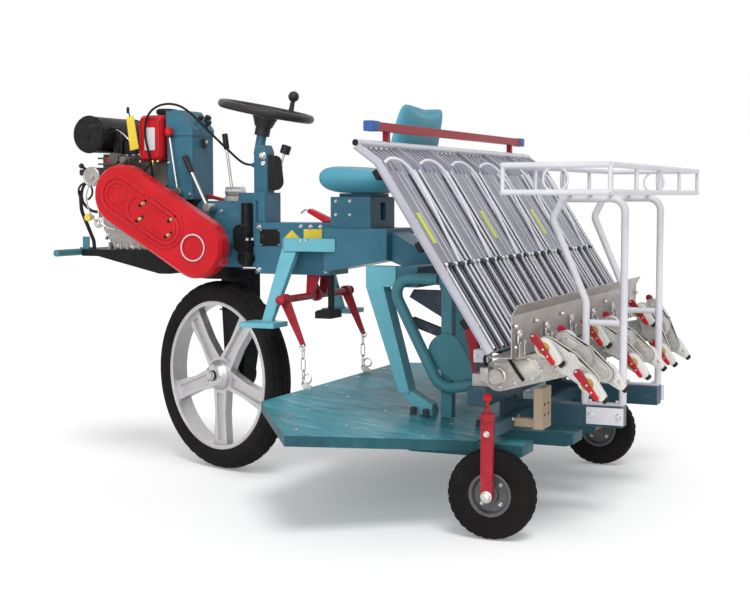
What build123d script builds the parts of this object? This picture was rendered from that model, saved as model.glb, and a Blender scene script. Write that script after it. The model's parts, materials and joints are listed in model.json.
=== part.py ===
from build123d import *
import os
from math import atan2, cos, radians, sin, tan

# Riding rice transplanter, six rows, with one steered drive wheel in front.
# Millimetres. +X is forward, +Y is left, +Z is up, and the floor is at z = 0.
# Places along X are measured from the rear wheel axle until the parts are written.

os.makedirs("parts", exist_ok=True)

# Whole machine
FRONT_END_X = 1712.0
REAR_END_X = -332.0
RUN_GAP = 0.3
PIN_GAP = 0.1
MOVE_GAP = 8.0

# Drive wheel
DRIVE_X = 1188.0
DRIVE_R = 327.0
DRIVE_RIM_R = 259.0
DRIVE_WIDTH = 80.0
DRIVE_SPOKES = 5
RIM_THICK = 14.0
HUB_R = 52.0
HUB_HALF = 42.0
AXLE_R = 18.0
REST_STEER_DEG = -21.0

# Drive leg beside the wheel and its turntable
LEG_THICK = 56.0
LEG_TOP_HALF = 72.0
LEG_LOW_HALF = 44.0
CROWN_THICK = 30.0
TURNTABLE_R = 72.0
TURNTABLE_THICK = 12.0
KINGPIN_R = 28.0
KINGPIN_LONG = 60.0

# Rear transport wheels
REAR_R = 126.5
REAR_Y = 592.0
REAR_WIDTH = 58.0
REAR_HUB_R = 62.0
REAR_AXLE_R = 10.0
WHEEL_LEG_WIDE = 34.0
WHEEL_LEG_THICK = 16.0
WHEEL_LEG_TOP_Z = 338.0

# Main beam and seat beam
BEAM_HALF = 70.0
BEAM_TOP_Z = 858.0
BEAM_LOW_Z = 686.0
BEAM_REAR_LOW_Z = 700.0
BEAM_FRONT_X = 1020.0
BEAM_REAR_X = 742.0
SEAT_BEAM_HALF = 118.0
SEAT_BEAM_REAR_X = 520.0
SEAT_BEAM_TOP_Z = 842.0
SEAT_BEAM_LOW_Z = 742.0
TAIL_X = 330.0
TAIL_LOW_Z = 672.0
TAIL_DEEP = 62.0
CROSS_HALF = 325.0
CROSS_WIDE = 70.0

# Gearbox and steering column
GEARBOX_FRONT_X = 1264.0
GEARBOX_HALF = 66.0
GEARBOX_TOP_Z = 930.0
COLUMN_X = 1040.0
COLUMN_BOX_LONG = 104.0
COLUMN_BOX_HALF = 60.0
COLUMN_BOX_TOP_Z = 958.0
COLUMN_TOP_Z = 1118.0
COLUMN_HALF = 30.0
COLUMN_FRONT_X = 1049.0
COLUMN_REAR_X = 995.0
BOOT_TOP_X = 990.0
BOOT_TOP_Z = 1062.0
BOOT_TOP_R = 22.0
BOOT_LOW_X = 990.0
BOOT_LOW_Z = 996.0
BOOT_LOW_R = 30.0
BOOT_HALF = 24.0
SHAFT_R = 17.0
SPIGOT_R = 10.0
COLUMN_SHAFT_LONG = 150.0
HUB_FOOT = 84.0
HUB_FOOT_R = 26.0
HUB_LOW = 54.0
HUB_HIGH = 22.0
HUB_TOP_R = 42.0
HUB_LOW_R = 30.0
HUB_BORE_TOP = -28.0
SPOKE_WIDE = 44.0
SPOKE_THICK = 9.0
STEER_TILT_DEG = 12.0
STEER_HUB_X = 1013.0
STEER_HUB_Z = 1233.0
STEER_WHEEL_R = 151.0
STEER_GRIP_R = 14.0
KNOB_R = 19.0
KNOB_RISE = 62.0
KNOB_TURN_DEG = -96.0

# Seat and its box
SEAT_BOX_FRONT_X = 728.0
SEAT_BOX_REAR_X = 582.0
SEAT_BOX_HALF = 100.0
SEAT_BOX_TOP_Z = 944.0
SEAT_FRONT_X = 738.0
SEAT_BACK_X = 418.0
SEAT_HALF = 190.0
SEAT_LOW_Z = 956.0
SEAT_TOP_Z = 1242.0

# Engine, its base, the fuel tank, the hood box and the belt guard
BASE_REAR_X = 1330.0
BASE_LOW_Z = 680.0
BASE_LIP = 24.0
TOW_X = 1656.0
TOW_R = 11.0
BASE_FRONT_X = 1700.0
BASE_HALF = 118.0
BASE_TOP_Z = 760.0
CRASH_LOW_X = 1642.0
CRASH_TOP_X = 1700.0
CRASH_TOP_Z = 966.0
CRASH_R = 6.5
BUMPER_HALF = 250.0
BUMPER_R = 12.0
BUMPER_Z = 750.0
CRANK_FRONT_X = 1600.0
CRANK_REAR_X = 1352.0
CRANK_HALF = 120.0
CRANK_TOP_Z = 985.0
BARREL_X = CRANK_FRONT_X - 10
BARREL_TOP_Z = CRANK_TOP_Z + 100
FIN_COUNT = 5
CARB_Z = 1013.0
CARB_R = 32.0
FIN_THICK = 6.0
CANISTER_X = BARREL_X + 45
CANISTER_Z = BARREL_TOP_Z + 75
CANISTER_R = 63.0
CANISTER_HALF = 142.0
TANK_FRONT_X = 1458.0
TANK_REAR_X = 1362.0
TANK_LEFT_Y = 104.0
TANK_RIGHT_Y = -126.0
TANK_LOW_Z = 1066.0
TANK_TOP_Z = 1224.0
HOOD_FRONT_X = 1348.0
HOOD_REAR_X = 1240.0
HOOD_LEFT_Y = 104.0
HOOD_RIGHT_Y = -47.0
HOOD_LID_LOW_Z = 1152.0
HOOD_LID_OVER = 3.0
HOOD_SLOPE_X = 1294.0
HOOD_LOW_Z = 935.0
HOOD_TOP_Z = 1238.0
HOOD_REAR_TOP_Z = 1172.0
GUARD_Y = 206.0
GUARD_THICK = 58.0
GUARD_R = 102.0
GUARD_FRONT_X = 1434.0
GUARD_FRONT_Z = 950.0
GUARD_REAR_X = 1146.0
GUARD_REAR_Z = 778.0
GUARD_EDGE = 14.0
GUARD_RIDGE = 4.0
GUARD_RIDGE_WIDE = 7.0
GUARD_PANEL_R = 64.0
GUARD_PANEL_LONG = 0.64
GUARD_RING_R = 43.0
GUARD_SLOT_X = 1289.0
GUARD_SLOT_Z = 870.0
GUARD_SLOT_LONG = 40.0
GUARD_SLOT_R = 6.0
GUARD_SLOT_DX = 55.0
GUARD_SLOT_DZ = 26.0

# Hand levers, each from its pivot to its free end
THROTTLE_LOW = (1290.0, 122.0, 962.0)
THROTTLE_TOP = (1322.0, 122.0, 1166.0)
CLUTCH_LOW = (1180.0, 112.0, 908.0)
CLUTCH_TOP = (1266.0, 112.0, 1078.0)
GEAR_LOW = (1146.0, 0.0, 962.0)
GEAR_TOP = (1174.0, 0.0, 1156.0)
SHIFT_LOW = (978.0, -32.0, 1044.0)
SHIFT_TOP = (960.0, -46.0, 1114.0)

# Pedals
CABLE_R = 4.0
CABLE_ROUTE = [(1400.0, 104.0, 1006.0), (1402.0, 105.0, 1046.0), (1410.0, 113.0, 1098.0),
               (1420.0, 119.0, 1152.0), (1418.0, 119.0, 1204.0), (1396.0, 112.0, 1243.0),
               (1356.0, 98.0, 1262.0), (1308.0, 83.0, 1258.0), (1266.0, 72.0, 1230.0),
               (1222.0, 62.0, 1186.0), (1180.0, 50.0, 1142.0), (1140.0, 36.0, 1102.0),
               (1110.0, 22.0, 1070.0), (1086.0, 12.6, 1053.2), (1061.0, 12.0, 1052.0)]
PEDAL_X = 742.0
PEDAL_Y = 84.0

# Footrests
STEP_X = 868.0
STEP_Y = 300.0
STEP_Z = 540.0
STEP_LONG = 124.0
STEP_WIDE = 104.0
STEP_THICK = 16.0
WING_TOP_Z = 808.0
WING_DEEP = 42.0
WING_HALF = 132.0
WING_FRONT_X = 892.0
WING_REAR_X = 700.0
STEP_ARM_TOP = 56.0
STEP_ARM_LOW = 32.0

# Lift shaft, its arms and the chains
LIFT_X = 825.0
LIFT_Z = 615.0
LIFT_HALF = 268.0
LIFT_R = 12.0
LIFT_ARM_THICK = 6.0
LIFT_ARM_Y = 235.0
LIFT_TIP_X = 760.0
LIFT_TIP_Z = 470.0
LIFT_EYE_R = 4.0
EYE_RIM = 4.0
CHAIN_LINKS = 3
CHAIN_WIRE_R = 2.0
CHAIN_BEND_R = 7.0
LUG_RISE = 16.0
LUG_LONG = 30.0

# Pontoon
DECK_FRONT_X = 755.0
DECK_FRONT_HALF = 530.0
DECK_WIDE_X = 487.0
DECK_HALF = 900.0
DECK_REAR_X = 60.0
DECK_REAR_HALF = 545.0
DECK_TOP_Z = 330.0
DECK_REAR_TOP_Z = 262.0
DECK_THICK = 30.0
SKID_LOW_Z = 218.0
SKID_HALF = 50.0
SKID_FRONT_X = 640.0
PONTOON_FOOT_X = 300.0

# Rear legs, tubes and the cross beam that carries the planting units
REAR_LEG_Y = 300.0
REAR_LEG_TOP_X = 470.0
REAR_LEG_FOOT_X = 372.0
REAR_LEG_FOOT_Z = 352.0
REAR_LEG_SECTION = 58.0
POST_X = 240.0
POST_WIDE = 34.0
POST_TOP_Z = 730.0
TUBE_R = 17.0
GUSSET_R = 56.0
GUSSET_Z = 480.0
GUSSET_THICK = 8.0
TUBE_TOP_Z = 700.0
TUBE_FRONT_X = 420.0
TUBE_LOW_Z = 370.0
TOOL_BEAM_X = 60.0
TOOL_BEAM_Z = 388.0
TOOL_BEAM_SIDE = 54.0
TAIL_BEAM_Y = 240.0
TAIL_BEAM_SIDE = 60.0
TAIL_BEAM_Z = 308.0
TAIL_BEAM_REAR_X = -282.0

# Slotted bracket at the left
BRACKET_X = -112.0
BRACKET_Y = 450.0
BRACKET_WIDE = 84.0
BRACKET_LOW_Z = 296.0
BRACKET_TOP_Z = 412.0
BRACKET_SHEET = 4.0
BRACKET_SLOT = 18.0
BRACKET_SLOT_R = 4.0
BRACKET_SLOT_DY = 36.0
BRACKET_SLOT_DZ = 30.0
BRACKET_SLOT_Z = 350.0

# Seedling tray
ROW_COUNT = 6
TRAY_HALF = 775.0
TRAY_EDGE = 5.0
ROW_PITCH = 2 * (TRAY_HALF - TRAY_EDGE) / ROW_COUNT
TRAY_TOP_X = 258.0
TRAY_TOP_Z = 1044.0
TRAY_LOW_X = -61.0
TRAY_LOW_Z = 544.0
TRAY_FLOOR = 5.0
RIB_HIGH = 18.0
RIB_THICK = 5.0
RIBS_PER_ROW = 7
TRAY_CROSS = 26.0
TRAY_RAIL_R = 9.0
BAR_SIDE = 24.0
BAR_Z = 1140.0
BAR_HALF = 690.0
GUIDE_R = 14.0
GUIDE_HALF = 645.0
GUIDE_ALONG = 420.0
SHOE_Y = 510.0
SHOE_WIDE = 40.0
SHOE_HALF = 26.0
SHOE_DEEP = 48.0

# Seedling rail behind the tray
RAIL_X = -94.0
RAIL_HALF = 717.0
RAIL_TOP_Z = 660.0
RAIL_FOLD_Z = 632.0
RAIL_LOW_Z = 518.0
RAIL_SHEET = 3.0
RAIL_SHELF = 62.0
GATE_WIDE = 34.0
GATE_HIGH = 48.0

# Planting units
PLANT_X = -215.0
PLANT_Z = 500.0
CASE_PITCH = 2 * ROW_PITCH
CASE_HALF = 34.0
CASE_REAR_R = 36.0
CASE_FRONT_R = 44.0
CASE_FRONT_X = -2.0
CASE_FRONT_Z = 450.0
CASE_TUBE_R = 18.0
ROTOR_SHAFT_R = 14.0
ROTOR_R = 32.0
ROTOR_END_R = 23.0
ROTOR_THICK = 30.0
ROTOR_INSET = 30.0
ARM_RISE = 45.0
ARM_AHEAD = 60.0
ARM_PIN_R = 9.0
ARM_PIN_LONG = 26.0
ARM_BODY_R = 25.0
ARM_THICK = 24.0
ARM_GAP = 2.0
NOSE_R = 10.0
CLAW_WIDE = 13.0
REST_TURN_DEG = {"left": 0.0, "middle": 0.0, "right": 24.0}

# Rack over the planting units
RACK_Y = 240.0
RACK_R = 11.0
RACK_REAR_X = -278.0
RACK_FRONT_X = -166.0
RACK_BULGE_X = -62.0
RACK_FOOT_Z = 344.0
RACK_BAR_Z = 579.0
BASKET_FRONT_X = -28.0
BASKET_HALF = 606.0
BASKET_LOW_Z = 957.0
BASKET_TOP_Z = 1030.0
BASKET_R = 8.0
BASKET_POSTS = 4
BASKET_WIRE_R = 6.0
RACK_TOP_Z = BASKET_LOW_Z - BASKET_WIRE_R - RACK_R - RUN_GAP

MID_X = (FRONT_END_X + REAR_END_X) / 2
SLOPE = atan2(TRAY_TOP_Z - TRAY_LOW_Z, TRAY_TOP_X - TRAY_LOW_X)


def block(x0, x1, y0, y1, z0, z1):
    centre = ((x0 + x1) / 2, (y0 + y1) / 2, (z0 + z1) / 2)
    return Pos(*centre) * Box(abs(x1 - x0), abs(y1 - y0), abs(z1 - z0))


def rod(start, end, radius):
    start, end = Vector(*start), Vector(*end)
    plane = Plane(origin=start, z_dir=(end - start).normalized())
    return plane * Cylinder(radius, (end - start).length, align=(Align.CENTER, Align.CENTER, Align.MIN))


def bar(start, end, wide, high):
    """Straight bar of rectangular section, its width level and its height upright."""
    start, end = Vector(*start), Vector(*end)
    along = (end - start).normalized()
    side = Vector(0, 0, 1).cross(along)
    side = Vector(1, 0, 0) if side.length < 0.01 else side.normalized()
    plane = Plane(origin=start, x_dir=side, z_dir=along)
    return plane * Box(wide, high, (end - start).length, align=(Align.CENTER, Align.CENTER, Align.MIN))


def side_plate(points, y0, y1):
    """Flat shape drawn in side view as (x, z) points, from y0 to y1."""
    outline = Polyline(*[(x, y0, z) for x, z in points], close=True)
    return extrude(make_face(outline), amount=y1 - y0, dir=(0, 1, 0))


def plan_plate(points, z0, z1):
    """Flat shape drawn from above as (x, y) points, from z0 to z1."""
    outline = Polyline(*[(x, y, z0) for x, y in points], close=True)
    return extrude(make_face(outline), amount=z1 - z0, dir=(0, 0, 1))


def bent_tube(points, bend, radius):
    path = FilletPolyline(*points, radius=bend)
    return sweep(Plane(origin=path @ 0, z_dir=path % 0) * Circle(radius), path=path)


def side_hull(x0, z0, r0, x1, z1, r1, y0, y1):
    """Plate whose side view is two circles joined by their tangents."""
    gap = Vector(x1 - x0, z1 - z0)
    away = atan2(gap.Y, gap.X)
    swing = radians(90) - atan2(r0 - r1, (gap.length ** 2 - (r0 - r1) ** 2) ** 0.5)
    corners = []
    for turn, x, z, r in ((swing, x0, z0, r0), (swing, x1, z1, r1), (-swing, x1, z1, r1),
                          (-swing, x0, z0, r0)):
        corners.append((x + r * cos(away + turn), z + r * sin(away + turn)))
    web = side_plate(corners, y0, y1)
    return web + rod((x0, y0, z0), (x0, y1, z0), r0) + rod((x1, y0, z1), (x1, y1, z1), r1)


def both_sides(shape):
    return shape + mirror(shape, about=Plane.XZ)


def wheel_ring(points):
    """Ring about the Y axis from (y, radius) points."""
    face = make_face(Polyline(*[(0, y, r) for y, r in points], close=True))
    return revolve(face, axis=Axis.Y)


def tyre(outer, bead, width):
    half = width / 2
    crown = outer - 0.06 * outer
    side = [(-0.80 * half, bead), (-half, bead + 0.45 * (outer - bead)), (-0.82 * half, crown)]
    start, end = (0, -0.82 * half, crown), (0, 0.82 * half, crown)
    left = Polyline(*[(0, y, r) for y, r in side])
    right = Polyline(*[(0, -y, r) for y, r in side])
    arc = ThreePointArc(start, (0, 0, outer), end)
    base = Line((0, -0.80 * half, bead), (0, 0.80 * half, bead))
    return revolve(make_face([left, arc, right, base]), axis=Axis.Y)


def steered(shape):
    """Place a piece of the drive wheel group, turned to the angle it is parked at."""
    return Pos(DRIVE_X, 0, 0) * Rot(0, 0, REST_STEER_DEG) * shape


def drive_tyre():
    return steered(Pos(0, 0, DRIVE_R) * tyre(DRIVE_R, DRIVE_RIM_R, DRIVE_WIDTH))


def drive_rim():
    half = 0.8 * DRIVE_WIDTH / 2
    well = DRIVE_RIM_R - 0.4
    inner = well - RIM_THICK
    ring = wheel_ring([(-half, well), (-half, inner), (half, inner), (half, well)])
    hub = wheel_ring([(-HUB_HALF, AXLE_R + PIN_GAP), (-HUB_HALF, 40), (-24, HUB_R), (24, HUB_R),
                      (HUB_HALF, 40), (HUB_HALF, AXLE_R + PIN_GAP)])
    wheel = ring + hub
    for index in range(DRIVE_SPOKES):
        root, tip, thick = 36, 27, 15
        outline = [(-root, -HUB_R + 12), (root, -HUB_R + 12), (tip, -0.55 * inner), (tip + 8, -inner - 2),
                   (-tip - 8, -inner - 2), (-tip, -0.55 * inner)]
        spoke = side_plate(outline, -thick, thick)
        groove = side_plate([(-root / 2, -HUB_R - 12), (root / 2, -HUB_R - 12), (tip / 2, -inner + 14),
                             (-tip / 2, -inner + 14)], thick - 9, thick)
        wheel += Rot(0, index * 360 / DRIVE_SPOKES, 0) * (spoke - groove)
    return steered(Pos(0, 0, DRIVE_R) * wheel)


def drive_leg():
    inner_y = -DRIVE_WIDTH / 2 - 14
    outer_y = inner_y - LEG_THICK
    crown_low = 2 * DRIVE_R + 10
    crown_top = crown_low + CROWN_THICK
    leg = side_plate([(-LEG_TOP_HALF, crown_top), (LEG_TOP_HALF, crown_top), (LEG_TOP_HALF, crown_low - 90),
                      (LEG_LOW_HALF + 14, DRIVE_R + 60), (LEG_LOW_HALF, DRIVE_R),
                      (-LEG_LOW_HALF, DRIVE_R), (-LEG_LOW_HALF - 14, DRIVE_R + 60),
                      (-LEG_TOP_HALF, crown_low - 90)], outer_y, inner_y)
    leg += rod((0, outer_y, DRIVE_R), (0, inner_y, DRIVE_R), LEG_LOW_HALF + 6)
    leg += block(-LEG_TOP_HALF, LEG_TOP_HALF, outer_y, 0, crown_low, crown_top)
    leg += rod((0, 0, crown_low), (0, 0, crown_top + TURNTABLE_THICK), TURNTABLE_R)
    leg += rod((0, 0, crown_top), (0, 0, crown_top + TURNTABLE_THICK + KINGPIN_LONG), KINGPIN_R)
    leg += rod((0, inner_y, DRIVE_R), (0, HUB_HALF + 10, DRIVE_R), AXLE_R)
    return steered(leg)


def crown_top_z():
    return 2 * DRIVE_R + 10 + CROWN_THICK + TURNTABLE_THICK


def rear_tyre(side):
    return Pos(0, side * REAR_Y, REAR_R) * tyre(REAR_R, REAR_HUB_R, REAR_WIDTH)


def rear_hub(side):
    edge = REAR_HUB_R - 0.3
    half = 0.8 * REAR_WIDTH / 2
    bore = REAR_AXLE_R + PIN_GAP
    profile = [(-half, edge), (half, edge), (half, edge - 8), (8, edge - 14), (8, 24), (half + 4, 22),
               (half + 4, bore), (-half - 4, bore), (-half - 4, 22), (-8, 24), (-8, edge - 14),
               (-half, edge - 8)]
    return Pos(0, side * REAR_Y, REAR_R) * wheel_ring(profile)


def wheel_legs():
    near = REAR_Y + REAR_WIDTH / 2 + MOVE_GAP
    far = near + WHEEL_LEG_THICK
    mid = (near + far) / 2
    half = WHEEL_LEG_WIDE / 2
    cap_z = WHEEL_LEG_TOP_Z + 18
    leg = block(-half, half, near, far, REAR_R, WHEEL_LEG_TOP_Z)
    leg += rod((0, near, REAR_R), (0, far, REAR_R), half)
    leg += rod((0, REAR_Y - REAR_WIDTH / 2 - 6, REAR_R), (0, near, REAR_R), REAR_AXLE_R)
    leg += rod((0, mid, WHEEL_LEG_TOP_Z), (0, mid, cap_z), 20)
    leg += rod((0, mid, cap_z), (0, mid, cap_z + 16), 9)
    return both_sides(leg)


def main_beam():
    front = block(BEAM_REAR_X - 2, BEAM_FRONT_X, -BEAM_HALF, BEAM_HALF, BEAM_LOW_Z, BEAM_TOP_Z)
    seat = side_plate([(BEAM_REAR_X, BEAM_REAR_LOW_Z), (BEAM_REAR_X, SEAT_BEAM_TOP_Z),
                       (SEAT_BEAM_REAR_X, SEAT_BEAM_TOP_Z), (SEAT_BEAM_REAR_X, SEAT_BEAM_LOW_Z)],
                      -SEAT_BEAM_HALF, SEAT_BEAM_HALF)
    spine = side_plate([(SEAT_BEAM_REAR_X + 20, SEAT_BEAM_TOP_Z), (SEAT_BEAM_REAR_X + 20, SEAT_BEAM_LOW_Z),
                        (TAIL_X + 20, TAIL_LOW_Z), (TAIL_X + 20, TAIL_LOW_Z + TAIL_DEEP)],
                       -BEAM_HALF, BEAM_HALF)
    cross = block(TAIL_X, TAIL_X + CROSS_WIDE, -CROSS_HALF, CROSS_HALF, TAIL_LOW_Z, TAIL_LOW_Z + TAIL_DEEP)
    return front + seat + spine + cross


def rear_legs():
    half = REAR_LEG_SECTION / 2
    foot_half = 0.6 * half
    top = TAIL_LOW_Z + TAIL_DEEP
    cross_x = TAIL_X + CROSS_WIDE + RUN_GAP
    leg = side_plate([(cross_x, top), (REAR_LEG_TOP_X + half, top), (REAR_LEG_TOP_X + half, TAIL_LOW_Z),
                      (REAR_LEG_FOOT_X + foot_half, REAR_LEG_FOOT_Z),
                      (REAR_LEG_FOOT_X - foot_half, REAR_LEG_FOOT_Z),
                      (REAR_LEG_TOP_X - half, TAIL_LOW_Z), (cross_x, TAIL_LOW_Z)],
                     REAR_LEG_Y - half, REAR_LEG_Y + half)
    hip = plan_plate([(cross_x, BEAM_HALF + RUN_GAP), (REAR_LEG_TOP_X + half, BEAM_HALF + RUN_GAP),
                      (REAR_LEG_TOP_X + half, REAR_LEG_Y), (cross_x, REAR_LEG_Y)],
                     TAIL_LOW_Z + 8, TAIL_LOW_Z + 40)
    foot = side_plate([(REAR_LEG_FOOT_X + foot_half, REAR_LEG_FOOT_Z),
                       (REAR_LEG_FOOT_X - foot_half, REAR_LEG_FOOT_Z + 6),
                       (PONTOON_FOOT_X - 16, deck_top(PONTOON_FOOT_X) + 34),
                       (PONTOON_FOOT_X - 16, deck_top(PONTOON_FOOT_X - 16) + RUN_GAP),
                       (PONTOON_FOOT_X + 24, deck_top(PONTOON_FOOT_X + 24) + RUN_GAP)],
                      REAR_LEG_Y - 0.7 * half, REAR_LEG_Y + 0.7 * half)
    return both_sides(leg + hip + foot)


def rear_tubes():
    half = POST_WIDE / 2
    outer = REAR_LEG_Y + half
    tube_y = outer + GUSSET_THICK + TUBE_R + RUN_GAP
    tube = bent_tube([(POST_X + half, tube_y, TUBE_TOP_Z), (TUBE_FRONT_X, tube_y, TUBE_TOP_Z),
                      (POST_X + 8, tube_y, TUBE_LOW_Z), (TOOL_BEAM_X + 100, tube_y, TOOL_BEAM_Z),
                      (TOOL_BEAM_X + TOOL_BEAM_SIDE / 2 + RUN_GAP, tube_y, TOOL_BEAM_Z)],
                     [46, 60, 60], TUBE_R)
    post = block(POST_X - half, POST_X + half, REAR_LEG_Y - half, outer,
                 deck_top(POST_X + half) + RUN_GAP, POST_TOP_Z)
    gusset = side_hull(POST_X, GUSSET_Z, GUSSET_R, POST_X - 100, GUSSET_Z - 104, 24, outer,
                       outer + GUSSET_THICK)
    clamp = block(POST_X - half, POST_X + half, outer, tube_y, TUBE_TOP_Z - 14, TUBE_TOP_Z + 14)
    link = block(POST_X + half, TAIL_X - RUN_GAP, REAR_LEG_Y - 14, REAR_LEG_Y + 14, TAIL_LOW_Z + 10,
                 TAIL_LOW_Z + 38)
    return both_sides(tube + post + gusset + clamp + link)


def cover_plate():
    near = REAR_LEG_Y - POST_WIDE / 2 - RUN_GAP
    plate = side_plate([(POST_X - 10, 560), (POST_X - 10, TAIL_LOW_Z - 8), (TAIL_X + 30, TAIL_LOW_Z - 8),
                        (TAIL_X + 44, 640)], near - 6, near)
    brace = bar((POST_X, near - 14, 522), (TAIL_X + 40, near - 14, 566), 28, 26)
    return both_sides(plate + brace)


def gearbox():
    crown = crown_top_z() + RUN_GAP
    body = side_plate([(BEAM_FRONT_X + RUN_GAP, crown), (GEARBOX_FRONT_X, crown),
                       (GEARBOX_FRONT_X, GEARBOX_TOP_Z - 40), (GEARBOX_FRONT_X - 30, GEARBOX_TOP_Z),
                       (BEAM_FRONT_X + RUN_GAP, GEARBOX_TOP_Z)], -GEARBOX_HALF, GEARBOX_HALF)
    body = fillet(body.edges().filter_by(Axis.Z), 10)
    neck = rod((DRIVE_X, 0, crown), (DRIVE_X, 0, crown + 40), TURNTABLE_R)
    input_boss = rod((GUARD_REAR_X, GEARBOX_HALF - 5, GUARD_REAR_Z),
                     (GUARD_REAR_X, GUARD_Y - RUN_GAP, GUARD_REAR_Z), 40)
    cover = rod((GUARD_REAR_X - 20, -GEARBOX_HALF - 22, 800), (GUARD_REAR_X - 20, -GEARBOX_HALF, 800), 58)
    case = body + neck + input_boss + cover
    socket = rod((DRIVE_X, 0, crown - 10), (DRIVE_X, 0, crown + KINGPIN_LONG + 2), KINGPIN_R + PIN_GAP)
    return case - socket


def column_housing():
    top = COLUMN_TOP_Z
    post = side_plate([(COLUMN_REAR_X, COLUMN_BOX_TOP_Z), (COLUMN_FRONT_X, COLUMN_BOX_TOP_Z),
                       (COLUMN_FRONT_X, top - 36), (COLUMN_FRONT_X - 14, top), (COLUMN_REAR_X + 14, top),
                       (COLUMN_REAR_X, top - 30)], -COLUMN_HALF, COLUMN_HALF)
    return fillet(post.edges().filter_by(Axis.Z), 10)


def steering_column():
    box_low = GEARBOX_TOP_Z + RUN_GAP
    back = COLUMN_X - COLUMN_BOX_LONG / 2
    front = COLUMN_X + COLUMN_BOX_LONG / 2
    box = block(back, front, -COLUMN_BOX_HALF, COLUMN_BOX_HALF, BEAM_TOP_Z + RUN_GAP, COLUMN_BOX_TOP_Z)
    box -= block(BEAM_FRONT_X, front + 10, -200, 200, 0, box_low)
    box = fillet(box.edges().filter_by(Axis.Z), 8)
    shaft_top = steering_point(-HUB_FOOT - RUN_GAP)
    shaft = rod(steering_point(-COLUMN_SHAFT_LONG), shaft_top, SHAFT_R)
    spigot = rod(shaft_top, steering_point(HUB_BORE_TOP - 2), SPIGOT_R)
    end_x, end_y, end_z = CABLE_ROUTE[-1]
    gland = rod((COLUMN_FRONT_X - 4, end_y, end_z), (end_x - RUN_GAP, end_y, end_z), 2 * CABLE_R)
    return box + column_housing() + shaft + spigot + gland


def column_boot():
    """Rubber boot that the shift lever comes out of, behind the column's housing."""
    boot = side_hull(BOOT_LOW_X, BOOT_LOW_Z, BOOT_LOW_R, BOOT_TOP_X, BOOT_TOP_Z, BOOT_TOP_R, -BOOT_HALF,
                     BOOT_HALF)
    return boot - block(COLUMN_REAR_X - RUN_GAP, COLUMN_FRONT_X, -COLUMN_HALF, COLUMN_HALF, BEAM_TOP_Z,
                        COLUMN_TOP_Z)


def steering_point(up):
    """Point on the steering wheel's own axis, so far above the plane of its rim."""
    tilt = radians(STEER_TILT_DEG)
    return (STEER_HUB_X - up * sin(tilt), 0, STEER_HUB_Z + up * cos(tilt))


def steering_wheel():
    """Rim, dished spokes, a bell hub on the shaft's spigot, and the spinner knob."""
    grip = Torus(STEER_WHEEL_R, STEER_GRIP_R)
    hub = Pos(0, 0, (-HUB_HIGH - HUB_LOW) / 2) * Cone(HUB_LOW_R, HUB_TOP_R, HUB_LOW - HUB_HIGH)
    foot = Pos(0, 0, (-HUB_FOOT - HUB_LOW) / 2) * Cylinder(HUB_FOOT_R, HUB_FOOT - HUB_LOW)
    dish = hub + foot + Pos(0, 0, -HUB_HIGH) * Cylinder(HUB_TOP_R, SPOKE_THICK)
    for turn in (60, 180, 300):
        spoke = bar((0, 0, -HUB_HIGH), (STEER_WHEEL_R, 0, 0), SPOKE_WIDE, SPOKE_THICK)
        dish += Rot(0, 0, turn) * spoke
    dish -= Torus(STEER_WHEEL_R, STEER_GRIP_R - 4)
    dish -= Pos(0, 0, HUB_BORE_TOP) * Cylinder(SPIGOT_R + PIN_GAP, 100,
                                               align=(Align.CENTER, Align.CENTER, Align.MAX))
    turn = radians(KNOB_TURN_DEG)
    stalk = Pos(0, 0, KNOB_RISE / 2) * Cone(10, 7, KNOB_RISE)
    ball = Pos(0, 0, KNOB_RISE) * Sphere(KNOB_R)
    knob = Pos(STEER_WHEEL_R * cos(turn), STEER_WHEEL_R * sin(turn), 0) * (stalk + ball)
    return Pos(STEER_HUB_X, 0, STEER_HUB_Z) * Rot(0, -STEER_TILT_DEG, 0) * (grip + dish + knob)


def seat_box():
    box = block(SEAT_BOX_REAR_X, SEAT_BOX_FRONT_X - RUN_GAP, -SEAT_BOX_HALF, SEAT_BOX_HALF,
                SEAT_BEAM_TOP_Z + RUN_GAP, SEAT_BOX_TOP_Z)
    box = fillet(box.edges().filter_by(Axis.Z), 6)
    slot = block(SEAT_BOX_REAR_X - 5, SEAT_BOX_REAR_X + 30, -22, 22, 868, 926)
    mounts = block(SEAT_BOX_REAR_X + 10, SEAT_BOX_FRONT_X - 20, -70, 70, SEAT_BOX_TOP_Z,
                   SEAT_LOW_Z - RUN_GAP)
    return box - slot + mounts


def seat():
    """Moulded bucket: a thick rounded pan and a back with a raised, dipped top edge."""
    low, top = SEAT_LOW_Z, SEAT_TOP_Z
    front, back = SEAT_FRONT_X, SEAT_BACK_X
    side = side_plate([(front - 16, low + 6), (front, low + 28), (front - 4, low + 58),
                       (front - 34, low + 76), (front - 90, low + 72), (back + 130, low + 54),
                       (back + 96, low + 68), (back + 74, low + 110), (back + 54, low + 190),
                       (back + 46, top - 18), (back + 34, top - 2), (back + 14, top),
                       (back, top - 20), (back + 4, low + 190), (back + 22, low + 90),
                       (back + 50, low + 30), (back + 90, low), (front - 60, low)],
                      -SEAT_HALF, SEAT_HALF)
    dip = rod((back - 50, 0, top + 172), (back + 150, 0, top + 172), 190)
    return side - dip


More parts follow.
